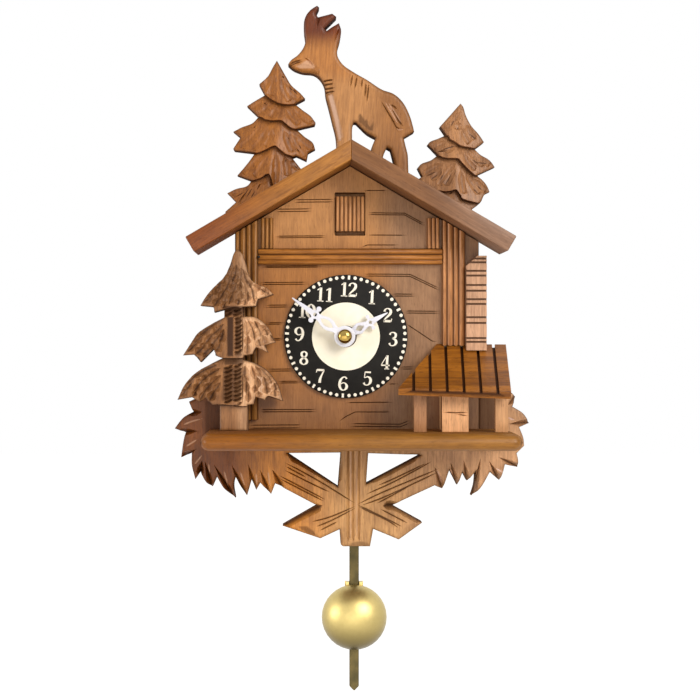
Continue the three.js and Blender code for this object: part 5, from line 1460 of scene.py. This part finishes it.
minute_solids = [
    ring_of(2.9, 48), spine([(2.2, 0.85), (3.4, 1.0), (5.0, 1.60), (6.6, 1.62), (8.2, 1.05), (9.6, 0.8)]),
    ring_of(1.2, 20, 10.1), [(9.7, -1.85), (10.5, -1.85), (10.5, 1.85), (9.7, 1.85)],
    ring_of(0.7, 20, 10.1, 1.85), ring_of(0.7, 20, 10.1, -1.85),
    spine([(10.9, 0.78), (12.2, 0.68), (15.0, 0.44), (17.6, 0.16), (17.85, 0.05)]),
]
minute_holes = [
    spine([(4.0, 0.03), (4.8, 0.55), (6.0, 0.86), (7.2, 0.62), (8.2, 0.03)]), ring_of(0.52, 20, 10.1),
]
hour_solids = [
    ring_of(2.8, 48), spine([(2.2, 0.85), (3.4, 1.15), (4.7, 1.60), (5.8, 1.25), (7.4, 0.75)]),
    ring_of(1.15, 20, 8.3), [(7.95, -1.75), (8.65, -1.75), (8.65, 1.75), (7.95, 1.75)],
    ring_of(0.55, 20, 8.3, 1.75), ring_of(0.55, 20, 8.3, -1.75),
    spine([(9.0, 0.86), (10.2, 0.68), (12.0, 0.42), (13.6, 0.16), (13.85, 0.05)]),
]
hour_holes = [
    spine([(3.6, 0.03), (4.2, 0.5), (4.8, 0.82), (5.5, 0.5), (6.2, 0.03)]),
    [(7.7, 0), (8.3, 0.6), (8.9, 0), (8.3, -0.6)],
]
stamped_hand("white_hour_hand", "hour_hand", hour_solids, hour_holes, "hour_set")
stamped_hand("white_minute_hand", "minute_hand", minute_solids, minute_holes, "minute_set")
nut = softened("domed_nut", "hand_nut", 0.0001, 2, 50)
placed(nut, nut_brass, "minute_set", "brass", "hand_nut")

# Movement: a flat moulded quartz case in black with its screws, setting knob and cell, and
# the coils, contacts and board that its window shows.
plastic_black = enamel("moulded_black", paint(34, 34, 36), paint(44, 44, 46), 0.42, grain=14,
                       bump_depth=0.00002)
plastic_grey = enamel("moulded_grey", paint(188, 188, 184), paint(176, 176, 172), 0.4, grain=12)
steel = enamel("bright_steel", paint(196, 196, 198), paint(176, 176, 180), 0.25, grain=16, metal=1.0)
copper = enamel("copper_wire", paint(206, 120, 72), paint(176, 92, 52), 0.3, grain=20, metal=1.0)
board_green = enamel("circuit_green", paint(34, 92, 56), paint(28, 76, 48), 0.4, grain=10)
cell_skin = enamel("cell_skin", paint(70, 84, 100), paint(60, 72, 88), 0.3, grain=8, coat=0.2)
bob_satin = enamel("satin_brass", paint(216, 194, 124), paint(204, 182, 114), 0.42, grain=18, coat=0.5,
                   metal=1.0, bump_depth=0.000006, mottle=0.9)
plain_nodes = (
    (plastic_black, ("movement_plate", "movement_shell")),
    (plastic_grey, ("pivot_cap", "hour_wheel", "minute_wheel", "setting_knob", "pendulum_hanger")),
    (steel, ("movement_screw_left", "movement_screw_right", "contact_minus", "contact_plus", "minute_arbor")),
    (copper, ("motor_coil", "pendulum_coil")),
    (board_green, ("circuit_board",)),
    (cell_skin, ("battery_cell",)),
    (brass, ("brad_lower_left", "brad_upper_left", "brad_lower_right", "brad_upper_right")),
    (bob_satin, ("bob_clip",)),
)
for look, named in plain_nodes:
    for node in named:
        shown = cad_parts[node]
        shown.data.materials.clear()
        shown.data.materials.append(look)

# Nail: the small iron pin that holds the left end of the beam.
nail_radius, nail_length, nail_dome = 0.00036, 0.0008, 0.00022
nail_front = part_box("cross_beam")[0].y
nail_x, nail_z = seen_at(258.6, 256.9, nail_front)
bpy.ops.mesh.primitive_cylinder_add(
    vertices=20, radius=nail_radius, depth=nail_length, rotation=(math.radians(90), 0, 0),
    location=(nail_x, nail_front + 0.0001, nail_z)
)
nail = bpy.context.object
nail.name = "beam_nail"
bpy.ops.object.transform_apply()
crown = nail.modifiers.new("domed", "BEVEL")
crown.width = nail_dome
crown.segments = 3
bpy.ops.object.modifier_apply(modifier="domed")
bpy.ops.object.shade_smooth_by_angle(angle=math.radians(60))
nail_iron = enamel("nail_iron", paint(46, 42, 40), paint(30, 28, 27), 0.45, metal=0.8)
placed(nail, nail_iron, "clock_case", "steel")

# Pendulum: a flat brass strip, dulled to olive, with a spun brass bob that a clip holds on it.
# The bob's colour is brightest at the top and darkens toward its lower edge, a painted reflection of the dark
# surroundings below it.
rod_dull = enamel("dull_brass", paint(104, 90, 52), paint(74, 66, 38), 0.5, grain=5, metal=0.7,
                  bump_depth=0.00005)
rod = softened("pendulum_strip", "pendulum_rod", 0.00018, 1)
placed(rod, rod_dull, "pendulum", "brass", "pendulum_rod")
bob = softened("satin_bob", "bob_shell", 0.0002, 2, 60)
placed(bob, bob_satin, "bob", "brass", "bob_shell")
bob_low, bob_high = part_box("bob_shell")
bob_height = bob_high.z - bob_low.z
tree = bob_satin.node_tree
brass_colour = tree.nodes["Principled BSDF"].inputs["Base Color"]
bob_place = tree.nodes.new("ShaderNodeSeparateXYZ")
tree.links.new(tree.nodes.new("ShaderNodeTexCoord").outputs["Object"], bob_place.inputs[0])
# Painted reflection: the brass colour fades to a dark olive toward the bob's lower edge.
painted_reflection_fade = ranged(tree, bob_place.outputs["Z"], bob_low.z, bob_low.z + 0.82 * bob_height)
tree.links.new(blended(tree, painted_reflection_fade, paint(94, 80, 36), brass_colour.links[0].from_socket), brass_colour)
